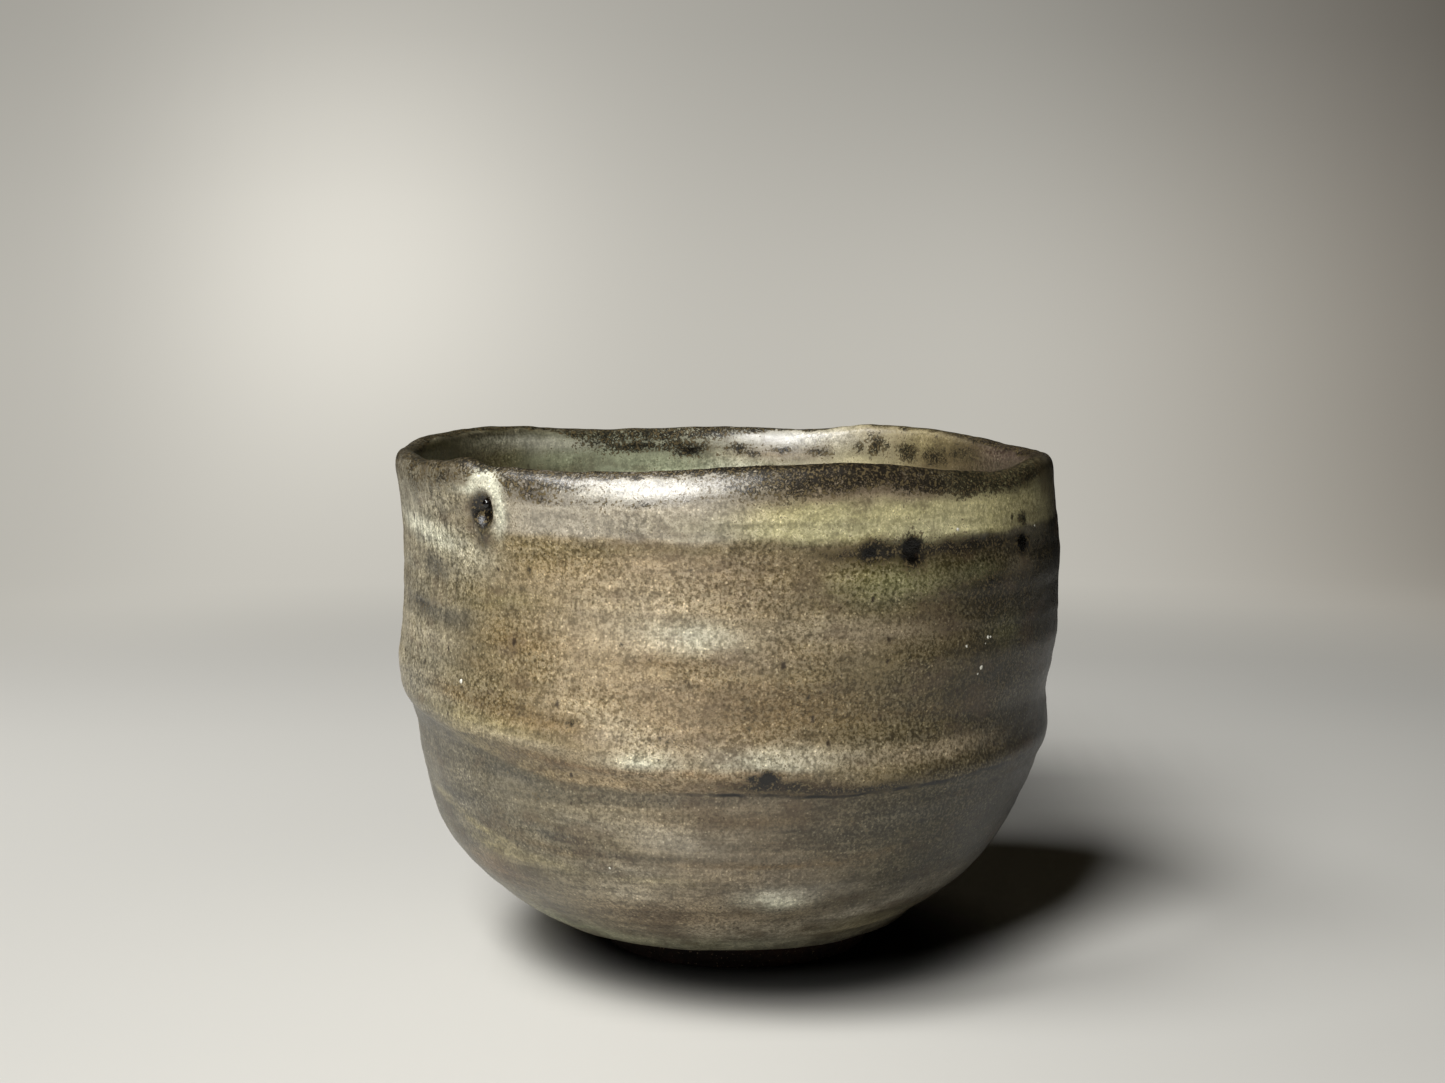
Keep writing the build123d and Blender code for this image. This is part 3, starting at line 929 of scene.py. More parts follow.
def paintOutside(phi, z, crest):
    # the outside's colour, how much iron, pale crystal, gloss and running shows at each place, how far it is
    # from the trimmed edge and how strong the painted shade in the crease along that edge is
    ragged = phi + clouds(phi, z, wandering["outsideRound"])
    rough = z + clouds(phi, z, wandering["outsideUp"])
    edge = roundValue(reliefShape["trimLine"], phi)
    above = smoothStep(-0.5, 0.5, z + 0.35 * (rough - z) - edge)
    upper = washed(roundColour(upperWall, phi), upperWashes, ragged, rough)
    trimmed = washed(roundColour(trimmedWall, phi), trimmedWashes, ragged, rough)
    drop = crest - rough
    # the cream band under the lip: greyer at the front's left, yellower at its right
    shape = bandShape
    yellow = between(*shape["yellow"], phi) + smoothStep(*shape["yellowBack"], np.abs(phi))
    dusk = smoothStep(*shape["dusk"], rough)
    band = smoothStep(*shape["foot"], rough) * roundValue(shape["strength"], phi)
    upper = laid(upper, "silver", band * (1 - yellow))
    upper = laid(upper, "cream", band * yellow * (1 - 0.5 * dusk))
    upper = laid(upper, "pinkBrown", 0.7 * dusk * yellow * (1 - smoothStep(*shape["pinkEnd"], phi)))
    bright = sum(strength * mound(phi, rough, *place) for strength, *place in shape["bright"])
    upper = laid(upper, "paleCream", 0.75 * bright * (0.8 + 0.3 * cloud(phi, z, 4, 2, 13)))
    upper = laid(upper, "olive", 0.75 * bell(rough, *shape["line"]) * between(*shape["lineRound"], phi))
    runs = (0.30 + 0.25 * cloud(phi, z, 16, 40, 18)) * between(*shape["rivulets"], rough)
    runs = np.maximum(runs, 0.7 * between(-120, -100, -52, -40, phi) * smoothStep(56, 66, z))
    # a painted sheen over the lip's outer shoulder, the lamps' highlight painted pale along with a glossier
    # finish, and a dusky line under it, wider at the pit
    shape = lipShape
    paintedSheen = between(*shape["sheenDrop"], drop) * roundValue(shape["silver"], phi)
    upper = laid(upper, "sheenWhite", 0.85 * paintedSheen)
    under = 0.7 * bell(drop, *shape["dusky"]) * between(*shape["duskyRound"], phi)
    under = np.maximum(under, mound(phi, drop, *shape["duskyPit"]))
    upper = laid(upper, "plum", 0.42 * under * under)
    # brown gathers on the ledge and runs thin along its edge
    shape = ledgeShape
    brown = bell(rough - edge, *shape["brown"]) * between(*shape["brownRound"], phi)
    upper = laid(upper, "umber", 0.9 * brown)
    thin = bell(rough - edge, *shape["thin"]) * between(*shape["thinRound"], phi)
    upper = laid(upper, "rust", 0.5 * thin)
    colour = trimmed + (upper - trimmed) * above[..., None]
    # painted shade in the crease under the ledge along the trimmed edge: from the front round to the right,
    # and at the back
    seam = smoothStep(*shape["edgeShadeFrom"], phi) * (1 - 0.6 * smoothStep(80, 100, phi))
    seam = seam + 0.5 * smoothStep(140, 170, np.abs(phi))
    seam = np.clip(0.06 + seam * (0.72 + 0.5 * cloud(phi, 0 * z, 2.6, 4, 5)), 0, 1.2)
    tone = clouds(phi, z, wandering["outsideTone"])
    colour = colour * (1 + tone * (1 - smoothStep(84, 88, z)))[..., None]
    # pit: dark inside, with a pale halo above and to its right and a dark run below
    shape = pitShape
    away, aside, over = pitPlace(phi, z)
    halo = bell(away, *shape["halo"]) * np.clip(0.45 + 0.45 * over + 0.35 * aside, 0, 1)
    halo = np.clip(halo + 0.7 * mound(phi, rough, *shape["haloAbove"]), 0, 1)
    colour = laid(colour, "milk", 0.95 * halo)
    pool = np.hypot((aside + 0.25) / 1.3, over + 0.15)
    colour = laid(colour, "black", 0.9 * (1 - smoothStep(*shape["glass"], pool)))
    runAside, runOver, runWidth = shape["run"]
    run = bell(aside, runAside, runWidth) * bell(over, runOver, runWidth)
    colour = laid(colour, "darkOlive", 0.85 * run)
    # iron: specks and spots, the lip and its crest, the dusky line, the pit and its run
    specks = stained(ironStains, ragged, rough)
    wavering = phi + 0.3 * cloud(phi, z, 1.6, 1.2, 15), z + 0.25 * cloud(phi, z, 1.6, 1.2, 16)
    depth = lipDepth(drop, np.maximum(roundValue(lipShape["deep"], phi), 1), phi, z)
    lip = roundValue(lipShape["iron"], phi) * (1 - smoothStep(0.45, 1.35, depth))
    edging = 0.95 + 0.3 * between(-10, 0, 44, 60, phi)
    iron = np.maximum.reduce([
        np.maximum.reduce([specks, stained(ironSpots, *wavering), lip]) * (1 - 0.9 * halo),
        edging * (1 - smoothStep(*lipShape["crest"], drop)),
        0.86 * under * (0.9 + 0.3 * cloud(phi, z, 4, 3, 19)),
        1.2 * (1 - smoothStep(0.55, 1.2, pool)),
        0.5 * run,
    ])
    flecks = np.clip(0.8 + 0.25 * cloud(phi, z, 9, 6, 11), 0, 1) * (0.75 + 0.25 * above)
    flecks = flecks * (1 - 0.7 * between(56, 74, 90, 120, phi)) * (1 - 0.35 * band)
    sheen = 1 - smoothStep(4.5, 9.5, drop + 1.2 * cloud(phi, z, 6, 4, 17))
    sheen = sheen * roundValue(lipShape["gloss"], phi)
    gloss = np.clip(0.15 + 0.85 * sheen + 0.2 * cloud(phi, z, 8, 5, 12) + 0.7 * (away < 1.1), 0, 1)
    return colour, iron, flecks, gloss, runs, np.clip(z - edge, -6, 6), seam


# the inside, laid out in the same way
insideWall = {
    -150: "#86876a", -110: "#5f5a34", -90: "#6a6850", -20: "#83806a", 40: "#7c765f", 80: "#5e5446",
    97: "#594c3f", 112: "#5c4e41", 128: "#8b7e5a", 145: "#aa9c78", 165: "#a8a080",
}
insideWashes = (
    ("olive", 0.40, -122, 82, 26, 6.0),
    ("darkOlive", 0.90, -114, 84.0, 12, 3.4),
    ("celadon", 0.80, -148, 85.0, 13, 2.4),
    ("milk", 1.00, -137, 88.0, 19, 1.6, 0.05),
    ("celadon", 0.90, -164, 82, 20, 3.4),
    ("milk", 0.45, 178, 82, 6, 2.4),
    # these two: a painted sheen on the far lip's inner shoulder, the lamps' highlight painted pale
    ("silver", 0.85, 166, 86.4, 18, 3.4),
    ("sheenWhite", 1.00, 168, 88.4, 14, 2.0),
    ("darkOlive", 0.85, -120, 90.4, 26, 0.9),
    ("cream", 0.50, 150, 84, 9, 3.0),
    ("rust", 0.45, 172, 84.6, 12, 1.2),
    ("straw", 0.70, 138, 87.5, 11, 2.2),
    ("brown", 0.55, 128, 85.0, 13, 3.4),
    ("plum", 0.90, 102, 84, 22, 9.0),
    ("celadon", 0.45, 20, 78, 40, 9.0),
    ("celadon", 0.40, -60, 74, 30, 12.0),
)
insideStains = (
    (1.50, -171, 85.8, 4.0, 2.0),
    (1.35, -161, 86.2, 9, 1.3),
    (0.90, -154, 87.6, 6, 1.6),
    (1.10, 178, 85.8, 4.0, 1.2),
    (1.00, 175, 84.6, 2.0, 1.0),
    (1.20, 168, 85.6, 2.6, 1.0),
    (0.95, 160, 85.6, 4, 0.9),
    (1.00, 152, 86.8, 2.0, 1.6),
    (1.20, 147, 87.0, 3.0, 2.6),
    (1.15, 140, 86.4, 3.4, 2.6),
    (1.10, 132, 86.0, 5.0, 3.0),
    (0.90, 123, 86.6, 6.0, 2.6),
)
# how far down the inside the lip's iron reaches, in millimetres at degrees from the front
insideLip = {
    -180: 2.2, -165: 3.4, -152: 3.0, -144: 1.4, -90: 1.6, -40: 2.6, 0: 3.2, 60: 3.0, 95: 1.6, 122: 0.9,
    150: 0.8, 165: 0.5,
}
poolShape = {
    "coolWall": (12, 34),  # millimetres from the middle of the floor over which the cool grey-green ends
    "clear": (15, 40),  # and over which the crystals begin
    "glass": (8, 17),  # and the green glass ends
    "ring": (17.5, 1.6),  # the dark ring's place and half width
}


def paintInside(phi, z, crest, reach):
    # the inside's colour from the crest down to the pool, in the same layers
    ragged = phi + clouds(phi, z, wandering["insideRound"])
    rough = z + clouds(phi, z, wandering["insideUp"])
    colour = washed(roundColour(insideWall, phi), insideWashes, ragged, rough)
    tone = clouds(phi, z, wandering["insideTone"])
    colour = colour * (1 + tone * smoothStep(14, 24, z))[..., None]
    # glass gathers green in the pool and thins over the turn of the floor
    left = np.max(reach) - reach
    colour = laid(colour, "moss", 0.65 * (1 - smoothStep(*poolShape["coolWall"], left)))
    colour = laid(colour, "green", 0.55 * (1 - smoothStep(*poolShape["glass"], left)))
    colour = laid(colour, "darkOlive", 0.35 * bell(left, *poolShape["ring"]))
    iron = stained(insideStains, ragged, rough)
    depth = lipDepth(crest - rough, np.maximum(roundValue(insideLip, phi), 0.4), phi, z)
    lip = 1 - smoothStep(0.45, 1.3, depth)
    iron = np.maximum(iron, 0.95 * lip)
    rising = smoothStep(*poolShape["clear"], left)
    flecks = np.clip(0.45 + 0.4 * cloud(phi, z, 9, 6, 28), 0, 1) * rising
    shine = 0.35 + 0.75 * mound(phi, 0, 168, 0, 22, 1)
    gloss = np.clip(shine + 0.3 * lip + 0.4 * (1 - rising), 0, 1)
    runs = 0.25 * smoothStep(70, 80, rough)
    return colour, iron, flecks, gloss, runs, 6 + 0 * phi, 0 * phi


crestLine = np.max(coatPoints[..., 2], axis=0)[None, :]
phi, z = fromFront(coatPoints)
outerPaint = paintOutside(phi[:outerCount], z[:outerCount], crestLine)
innerPaint = paintInside(phi[outerCount - 1:], z[outerCount - 1:], crestLine, reach)
# the two coats run into each other over the crest
blend = 0.5 * (1 - smoothStep(0, 3.0, reach))[..., None]
innerPaint = (innerPaint[0] * (1 - blend) + outerPaint[0][-1][None] * blend, *innerPaint[1:])
outerPaint[0][-1] = innerPaint[0][0]


def paintFields(paint, hidden, first):
    # the layers as vertex fields, with plain values on the hidden side that lies on the clay
    colour, *layers = paint
    colour = np.concatenate([np.clip(colour, 0.003, 1), np.ones(colour.shape[:2] + (1,))], -1)
    quiet = np.zeros((hidden, colour.shape[1]))
    dull = np.zeros((hidden, colour.shape[1], 4)) + toLinear(paints["stone"])
    pairs = {"glazeColour": (colour, dull)}
    pairs.update((name, (layer, quiet)) for name, layer in zip(glazeLayers, layers))
    ordered = {name: pair if first else pair[::-1] for name, pair in pairs.items()}
    return {name: np.concatenate(pair) for name, pair in ordered.items()}


outerGlaze = makePiece(
    "outer_ash_glaze",
    [np.concatenate([coatPoints[:outerCount], clayOuter[::-1]])],
    normals=np.concatenate([coatNormals[:outerCount], -gridNormals(clayOuter)[::-1]]),
    fields=paintFields(outerPaint, len(clayOuter), True),
)
innerGlaze = makePiece(
    "inner_ash_glaze",
    [np.concatenate([clayInner[::-1], coatPoints[outerCount - 1:]])],
    capped=True,
    normals=np.concatenate([-gridNormals(clayInner)[::-1], coatNormals[outerCount - 1:]]),
    fields=paintFields(innerPaint, len(clayInner), False),
)
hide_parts("outer_glaze")
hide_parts("inner_glaze")

undersideShape = {
    "recess": 18.2,  # radius of the hollow inside the foot ring
    "recessDepth": 1.1,
    "button": 3.4,
    "buttonHeight": 0.7,
    "buttonFoot": 0.5,  # the button's side leans in by this much
    "trimMark": 0.07,  # depth of the spiral left by the trimming tool
    "trimPitch": 1.5,
}


def undersideHeight(radius, turn):
    # the hollow inside the ring with the button in its middle, and the trimming tool's spiral over both
    shape = undersideShape
    hollow = shape["recessDepth"] * (1 - smoothStep(shape["recess"] - 0.3, shape["recess"], radius))
    buttonTop = shape["button"] - shape["buttonFoot"]
    button = shape["buttonHeight"] * (1 - smoothStep(buttonTop, shape["button"], radius))
    spiral = np.sin(2 * np.pi * radius / shape["trimPitch"] + turn + 0.6 * np.sin(2 * turn))
    mark = shape["trimMark"] * spiral * smoothStep(0.6, 2.0, radius) * (1 - smoothStep(22.5, 24.0, radius))
    return bowlShape["footHeight"] + hollow - button + mark


step = gridShape["clayColumns"]
clayBase = thrown(clay, [0.0, 0.5])[:, ::step]
edgeRadius = np.hypot(clayBase[:1, :, 0], clayBase[:1, :, 1])
shares = np.concatenate([
    np.linspace(0.01, 0.16, 9),
    np.linspace(0.18, 0.68, 26),
    np.linspace(0.69, 0.71, 4),
    [0.8, 0.9],
])
radius = shares[:, None] * edgeRadius
turn = np.arctan2(clayBase[:1, :, 1], clayBase[:1, :, 0])
underside = np.stack([radius * np.cos(turn), radius * np.sin(turn), undersideHeight(radius, turn)], -1)
clayBody = makePiece(
    "thrown_clay",
    [np.concatenate([underside, clayBase, clayOuter[:, ::step], clayInner[1:, ::step]])],
    capped=True,
)
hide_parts("bowl_body")

footShape = {
    "radius": 24.0,  # outside, at the table
    "width": 5.6,
    "taper": 0.6,
    "edge": 0.7,
    "turnMark": 0.05,
    "turnPitch": 1.15,
    "wobble": 0.10,
    "nick": 0.16,
}


def footPoints(columns):
    # the ring's section carried round: up the outside, in under the clay, down the inside and round both
    # table edges
    shape = footShape
    high = bowlShape["footHeight"]
    inside = shape["radius"] - shape["width"]
    around = np.radians(np.linspace(90, 0, 6))[:-1]
    inward, upward = shape["edge"] * (1 - np.cos(around)), shape["edge"] * (1 - np.sin(around))
    rise = np.linspace(shape["edge"], high, 18)
    lean = shape["taper"] * rise / high
    section = np.concatenate([
        np.stack([shape["radius"] - inward, upward], -1),
        np.stack([shape["radius"] + lean, rise], -1),
        np.stack([inside + lean, rise], -1)[::-1],
        np.stack([inside + inward, upward], -1)[::-1],
    ])
    turn = np.linspace(0, 2 * np.pi, columns, endpoint=False)[None, :]
    radius, z = section[:, :1] + 0 * turn, section[:, 1:] + 0 * turn
    side = np.where(section[:, :1] > shape["radius"] - shape["width"] / 2, 1, -1)
    phi = wrapped(np.degrees(turn) - front + 0 * radius)
    fade = between(0.2, 1.0, high - 0.4, high, z)
    marks = shape["turnMark"] * np.sin(2 * np.pi * z / shape["turnPitch"] + np.radians(phi)) * fade
    wobble = shape["wobble"] * cloud(phi, z, 9, 3, 41) * fade
    nicks = shape["nick"] * np.clip(cloud(phi, 0 * z, 3.0, 4, 42) - 0.45, 0, 1)
    radius = radius + side * (marks + wobble - nicks * (1 - smoothStep(0.3, 1.6, z)))
    return np.stack([radius * np.cos(turn), radius * np.sin(turn), z], -1)


footRing = makePiece("turned_foot_ring", [footPoints(360)])
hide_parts("foot_ring")


def lump(centre, across, high, columns, rows, number, outward=(0, 0, 1)):
    # a rounded lump: a sphere with seeded low bumps, flattened along outward
    ring = np.linspace(0, 2 * np.pi, columns, endpoint=False)[None, :]
    lift = np.linspace(-np.pi / 2, np.pi / 2, rows + 2)[1:-1][:, None]
    phase = np.random.default_rng(number).uniform(0, 2 * np.pi, 3)
    swell = 1 + 0.07 * np.sin(2 * ring + phase[0]) * np.cos(lift)
    swell = swell + 0.05 * np.sin(3 * ring + phase[1]) * np.cos(2 * lift)
    local = np.stack([np.cos(lift) * np.cos(ring), np.cos(lift) * np.sin(ring), np.sin(lift) + 0 * ring], -1)
    local = local * swell[..., None] * [across, across, high]
    turned = np.array(Vector(outward).to_track_quat("Z", "Y").to_matrix())
    return local @ turned.T + centre


beadLow, beadHigh = np.array(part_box("stone_bead")) / millimetre
beadSize = (beadHigh - beadLow).min() / 2
beadGrid = lump((beadLow + beadHigh) / 2, beadSize, beadSize, 40, 24, 51)
bead = makePiece("melted_iron_bead", [beadGrid], capped=True)
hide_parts("stone_bead")

# feldspar grains that came up through the glaze: degrees from the front, height, half width in millimetres
grainPlaces = (
    (45.8, 61.4, 0.34), (46.6, 60.9, 0.26), (45.2, 60.6, 0.22), (40.8, 60.1, 0.30), (44.9, 56.1, 0.42),
    (44.1, 55.6, 0.24), (-48.5, 53.1, 0.42), (38.6, 79.2, 0.34), (61.0, 78.4, 0.26), (-21.0, 24.6, 0.26),
    (131.0, 50.0, 0.36), (-102.0, 66.0, 0.34), (-141.0, 30.0, 0.30), (96.0, 24.0, 0.28),
)
grainSunk = 0.1  # millimetres
grainFlat = 0.6  # height as a share of the width


def onCoat(place, height):
    # the coat's point and outward direction nearest to a place
    shownPhi, shownZ = fromFront(coatPoints[:outerCount])
    nearest = np.unravel_index(np.argmin((shownPhi - place) ** 2 + (shownZ - height) ** 2), shownZ.shape)
    return coatPoints[nearest], coatNormals[nearest]


grains = []
for number, (place, height, across) in enumerate(grainPlaces):
    point, outward = onCoat(place, height)
    grains.append(lump(point - grainSunk * outward, across, grainFlat * across, 12, 8, 60 + number, outward))
feldspar = makePiece("feldspar_grains", grains, capped=True)
print("clay, foot ring, bead and grains made")


def addNode(tree, kind, inputs={}, output=0, **settings):
    # one node with its settings, each input given a value or joined to a socket; hands back an output
    node = tree.nodes.new("ShaderNode" + kind)
    for name, value in settings.items():
        setattr(node, name, value)
    for name, value in inputs.items():
        if isinstance(value, bpy.types.NodeSocket):
            tree.links.new(value, node.inputs[name])
        else:
            node.inputs[name].default_value = value
    return node.outputs[output] if node.outputs else None


def newMaterial(name):
    # an empty material, and addNode for its own tree
    material = bpy.data.materials.new(name)
    material.use_nodes = True
    material.node_tree.nodes.clear()
    return material, partial(addNode, material.node_tree)


def grain(put, place, size, detail=2.0, rough=0.5, stretch=(1, 1, 1)):
    # noise whose lumps are size millimetres across, drawn out along an axis where stretch is above 1
    drawn = put("Mapping", {"Vector": place, "Scale": tuple(1 / s for s in stretch)})
    scale = 0.5 / (size * millimetre)
    return put("TexNoise", {"Vector": drawn, "Scale": scale, "Detail": detail, "Roughness": rough})


def shaded(put, colour, pattern, low, high, dark, light, rich=1.0):
    # the colour made darker or lighter, as the pattern runs from low to high. rich makes the dark end more
    # colourful.
    limits = {"Value": pattern, "From Min": low, "From Max": high}
    value = put("MapRange", {**limits, "To Min": dark, "To Max": light})
    strong = put("MapRange", {**limits, "To Min": rich, "To Max": 1.0})
    return put("HueSaturation", {"Color": colour, "Saturation": strong, "Value": value})


def overlaid(put, colour, pattern, low, high, strength, paint):
    # a second colour laid over the first where the pattern rises from low to high
    limits = {"From Min": low, "From Max": high, "To Max": strength}
    amount = put("MapRange", {"Value": pattern, **limits}, interpolation_type="SMOOTHSTEP")
    return put("Mix", {0: amount, 6: colour, 7: paint}, output=2, data_type="RGBA")


glazeShape = {
    "mottle": 0.50,  # of the matt crystals, in millimetres
    "fineGrain": 0.26,
    "glint": 0.56,  # from one painted glint to the next
    "glintSize": (0.20, 0.42),  # share of that spacing: solid, and where it ends
    "cloud": 2.4,
    "stain": 2.8,
    "level": 0.8,  # height of the streaks left by the wheel
    "scratch": 0.45,  # and of those left by the trimming tool
    "rivulet": 0.8,
    "dotSpacing": 2.4,  # of the iron dots
    "dotSize": 0.46,
    "roughDry": 0.42,
    "roughGlossy": 0.25,
    "roughSpread": 0.30,
    "roughIron": 0.24,
    "bump": 0.08,  # height of the crystals, in millimetres
    "edgeShadeWidth": (0.10, 0.50),  # half widths of the painted shade in the crease along the trimmed edge: solid, and where it ends
    "vivid": 1.12,
    # each pattern from one value to another, how dark and how light it makes the glaze, how rich the dark is
    "mottleTone": (0.41, 0.59, 0.52, 1.46, 1.25),
    "fineTone": (0.39, 0.63, 0.50, 1.55, 1.25),
    "cloudTone": (0.35, 0.65, 0.85, 1.15),
    "levelTone": (0.35, 0.65, 0.86, 1.14),
    "scratchTone": (0.36, 0.64, 0.84, 1.16),
    "trimmedTone": (0.40, 0.62, 1.14, 0.80, 0.92),
    "paleCrystal": "#8f8460",
    # the colour of the painted glints
    "paintedGlint": "#c9bd98",
    "brownStain": "#58432a",
    "iron": "#0d0a06",
    "ironCrystal": "#6b5d40",
    "pooledIron": "#080604",
    # the colour of the painted shade along the trimmed edge
    "edgeShadeColour": "#0a0704",
    "ironDot": "#2c2015",
}


def ashGlaze(name, dots, stains):
    # Matt wood-ash glaze over iron-bearing stoneware, poured and fired in a wood kiln. Fine pale crystals
    # stand in a softly shining glass, iron bleeds through in specks, and thick places run in rivulets.
    material, put = newMaterial(name)
    shape = glazeShape
    place = put("TexCoord", output="Object")
    colour = put("Attribute", output="Color", attribute_name="glazeColour")
    iron, flecks, gloss, runs, overEdge, seam = [
        put("Attribute", output="Fac", attribute_name=layer) for layer in glazeLayers
    ]
    mottle = grain(put, place, shape["mottle"], 4.0, 0.75)
    fine = grain(put, place, shape["fineGrain"], 2.0, 0.6)
    cell = put("TexVoronoi", {"Vector": place, "Scale": 1 / (shape["glint"] * millimetre)}, output="Distance")
    # some cells get a painted glint, a crystal lightened as if it caught the light, and a few of the others a
    # pore
    chance = put("SeparateColor", {"Color": cell.node.outputs["Color"]})
    solid, ends = shape["glintSize"]
    limits = {"From Min": ends, "From Max": solid}
    disc = put("MapRange", {"Value": cell, **limits}, interpolation_type="SMOOTHSTEP")
    disc = put("Math", {0: disc, 1: flecks}, operation="MULTIPLY")
    chosen = put("MapRange", {"Value": chance, "From Min": 0.62, "From Max": 0.86})
    glint = put("Math", {0: disc, 1: chosen}, operation="MULTIPLY")
    chosen = put("MapRange", {"Value": chance, "From Min": 0.18, "From Max": 0.06})
    pore = put("Math", {0: disc, 1: chosen}, operation="MULTIPLY")
    cloudy = grain(put, place, shape["cloud"], 3.0, 0.6)
    stain = grain(put, place, shape["stain"], 3.0, 0.65, (1.6, 1.6, 1))
    level = grain(put, place, shape["level"], 2.0, 0.6, (12, 12, 1))
    upright = grain(put, place, shape["rivulet"], 3.0, 0.6, (1, 1, 6))
    vivid = put("HueSaturation", {"Color": colour, "Saturation": shape["vivid"]})
    grainy = shaded(put, vivid, mottle, *shape["mottleTone"])
    grainy = shaded(put, grainy, fine, *shape["fineTone"])
    # pale crystals that stay in sight where the glaze is dark
    amount = put("Math", {0: flecks, 1: 0.42}, operation="MULTIPLY")
    grainy = overlaid(put, grainy, fine, 0.50, 0.61, amount, toLinear(shape["paleCrystal"]))
    colour = put("Mix", {0: flecks, 6: vivid, 7: grainy}, output=2, data_type="RGBA")
    colour = shaded(put, colour, cloudy, *shape["cloudTone"])
    colour = shaded(put, colour, level, *shape["levelTone"])
    # scratches of the trimming tool below the trimmed edge
    scratch = grain(put, place, shape["scratch"], 3.0, 0.65, (24, 24, 1))
    scratched = shaded(put, colour, scratch, *shape["scratchTone"])
    scratched = shaded(put, scratched, stain, *shape["trimmedTone"])
    trimmed = put("MapRange", {"Value": overEdge, "From Min": 0.0, "From Max": -1.5})
    colour = put("Mix", {0: trimmed, 6: colour, 7: scratched}, output=2, data_type="RGBA")
    # brown stains where iron has fluxed the glaze
    colour = overlaid(put, colour, stain, 0.52, 0.68, stains, toLinear(shape["brownStain"]))
    # upright rivulets in the thick band under the lip
    limits = {"From Min": 0.36, "From Max": 0.62, "To Min": 0.45, "To Max": 1.05}
    running = put("MapRange", {"Value": upright, **limits})
    streaked = put("HueSaturation", {"Color": colour, "Value": running})
    colour = put("Mix", {0: runs, 6: colour, 7: streaked}, output=2, data_type="RGBA")
    # painted glints on the crystals, and brown pores
    colour = shaded(put, colour, glint, 0.0, 1.0, 1.0, 2.0)
    colour = overlaid(put, colour, glint, 0.0, 1.0, 0.22, toLinear(shape["paintedGlint"]))
    colour = shaded(put, colour, pore, 0.0, 1.0, 1.0, 0.35, 0.8)
    # iron in specks: the stain's strength decides how many grains turn dark
    coarse = put("Math", {0: mottle, 1: 1.5, 2: cloudy}, operation="MULTIPLY_ADD")
    speckle = put("Math", {0: fine, 1: 2.4, 2: coarse}, operation="MULTIPLY_ADD")
    bleed = put("Math", {0: speckle, 1: 1.25, 2: iron}, operation="MULTIPLY_ADD")
    dark = overlaid(put, toLinear(shape["iron"]), fine, 0.52, 0.61, 0.8, toLinear(shape["ironCrystal"]))
    limits = {"From Min": 3.40, "From Max": 4.00, "To Max": 0.95}
    amount = put("MapRange", {"Value": bleed, **limits}, interpolation_type="SMOOTHSTEP")
    colour = put("Mix", {0: amount, 6: colour, 7: dark}, output=2, data_type="RGBA")
    colour = overlaid(put, colour, iron, 1.1, 1.6, 0.97, toLinear(shape["pooledIron"]))
    # painted shade in the crease along the trimmed edge, drawn as a dark line
    jitter = put("Math", {0: stain, 1: 1.8, 2: -0.9}, operation="MULTIPLY_ADD")
    aside = put("Math", {0: overEdge, 1: jitter}, operation="ADD")
    aside = put("Math", {0: aside}, operation="ABSOLUTE")
    solid, ends = shape["edgeShadeWidth"]
    limits = {"From Min": ends, "From Max": solid}
    near = put("MapRange", {"Value": aside, **limits}, interpolation_type="SMOOTHSTEP")
    near = put("Math", {0: near, 1: seam}, operation="MULTIPLY", use_clamp=True)
    colour = put("Mix", {0: near, 6: colour, 7: toLinear(shape["edgeShadeColour"])}, output=2, data_type="RGBA")
    # iron dots that melted out of the clay, a little drawn out downwards
    tall = put("Mapping", {"Vector": place, "Scale": (1, 1, 0.6)})
    spacing = 1 / (shape["dotSpacing"] * millimetre)
    cell = put("TexVoronoi", {"Vector": tall, "Scale": spacing, "Randomness": 1.0}, output="Distance")
    chance = put("SeparateColor", {"Color": cell.node.outputs["Color"]})
    widest = shape["dotSize"] / shape["dotSpacing"]
    limits = {"From Min": 0.55, "From Max": 1.0, "To Min": 0.001, "To Max": widest}
    size = put("MapRange", {"Value": chance, **limits})
    ragged = put("Math", {0: fine, 1: 0.22, 2: cell}, operation="MULTIPLY_ADD")
    ratio = put("Math", {0: ragged, 1: size}, operation="DIVIDE")
    limits = {"From Min": 1.9, "From Max": 1.0, "To Max": dots}
    dot = put("MapRange", {"Value": ratio, **limits}, interpolation_type="SMOOTHSTEP")
    colour = put("Mix", {0: dot, 6: colour, 7: toLinear(shape["ironDot"])}, output=2, data_type="RGBA")
    limits = {"To Min": shape["roughDry"], "To Max": shape["roughGlossy"]}
    rough = put("MapRange", {"Value": gloss, **limits})
    half = shape["roughSpread"] / 2
    spread = put("Math", {0: mottle, 1: shape["roughSpread"], 2: -half}, operation="MULTIPLY_ADD")
    rough = put("Math", {0: rough, 1: spread}, operation="ADD")
    rough = put("Math", {0: glint, 1: -0.2, 2: rough}, operation="MULTIPLY_ADD")
    # pooled iron is glassier
    limits = {"From Min": 1.1, "From Max": 1.6, "To Min": rough, "To Max": shape["roughIron"]}
    rough = put("MapRange", {"Value": iron, **limits})
    swollen = put("Math", {0: cloudy, 1: 1.5, 2: mottle}, operation="MULTIPLY_ADD")
    normal = put("Bump", {"Strength": 1.0, "Distance": shape["bump"] * millimetre, "Height": swollen})
    shader = put("BsdfPrincipled", {"Base Color": colour, "Roughness": rough, "IOR": 1.55, "Normal": normal})
    put("OutputMaterial", {"Surface": shader})
    return material


outerGlaze.data.materials.append(ashGlaze("matt_ash_glaze_outside", 0.9, 0.42))
innerGlaze.data.materials.append(ashGlaze("ash_glaze_inside", 0.5, 0.35))

clayFinish = {
    "grit": 0.5,  # of the sand, in millimetres
    "fine": 0.22,
    "flash": 9.0,  # from one darker flash of the fire to the next
    "turned": 0.5,  # height of the turning marks
    "bump": 0.09,
    "colour": "#2b1e18",
    "flashed": "#3f2a20",
    "sand": "#a58f76",
}


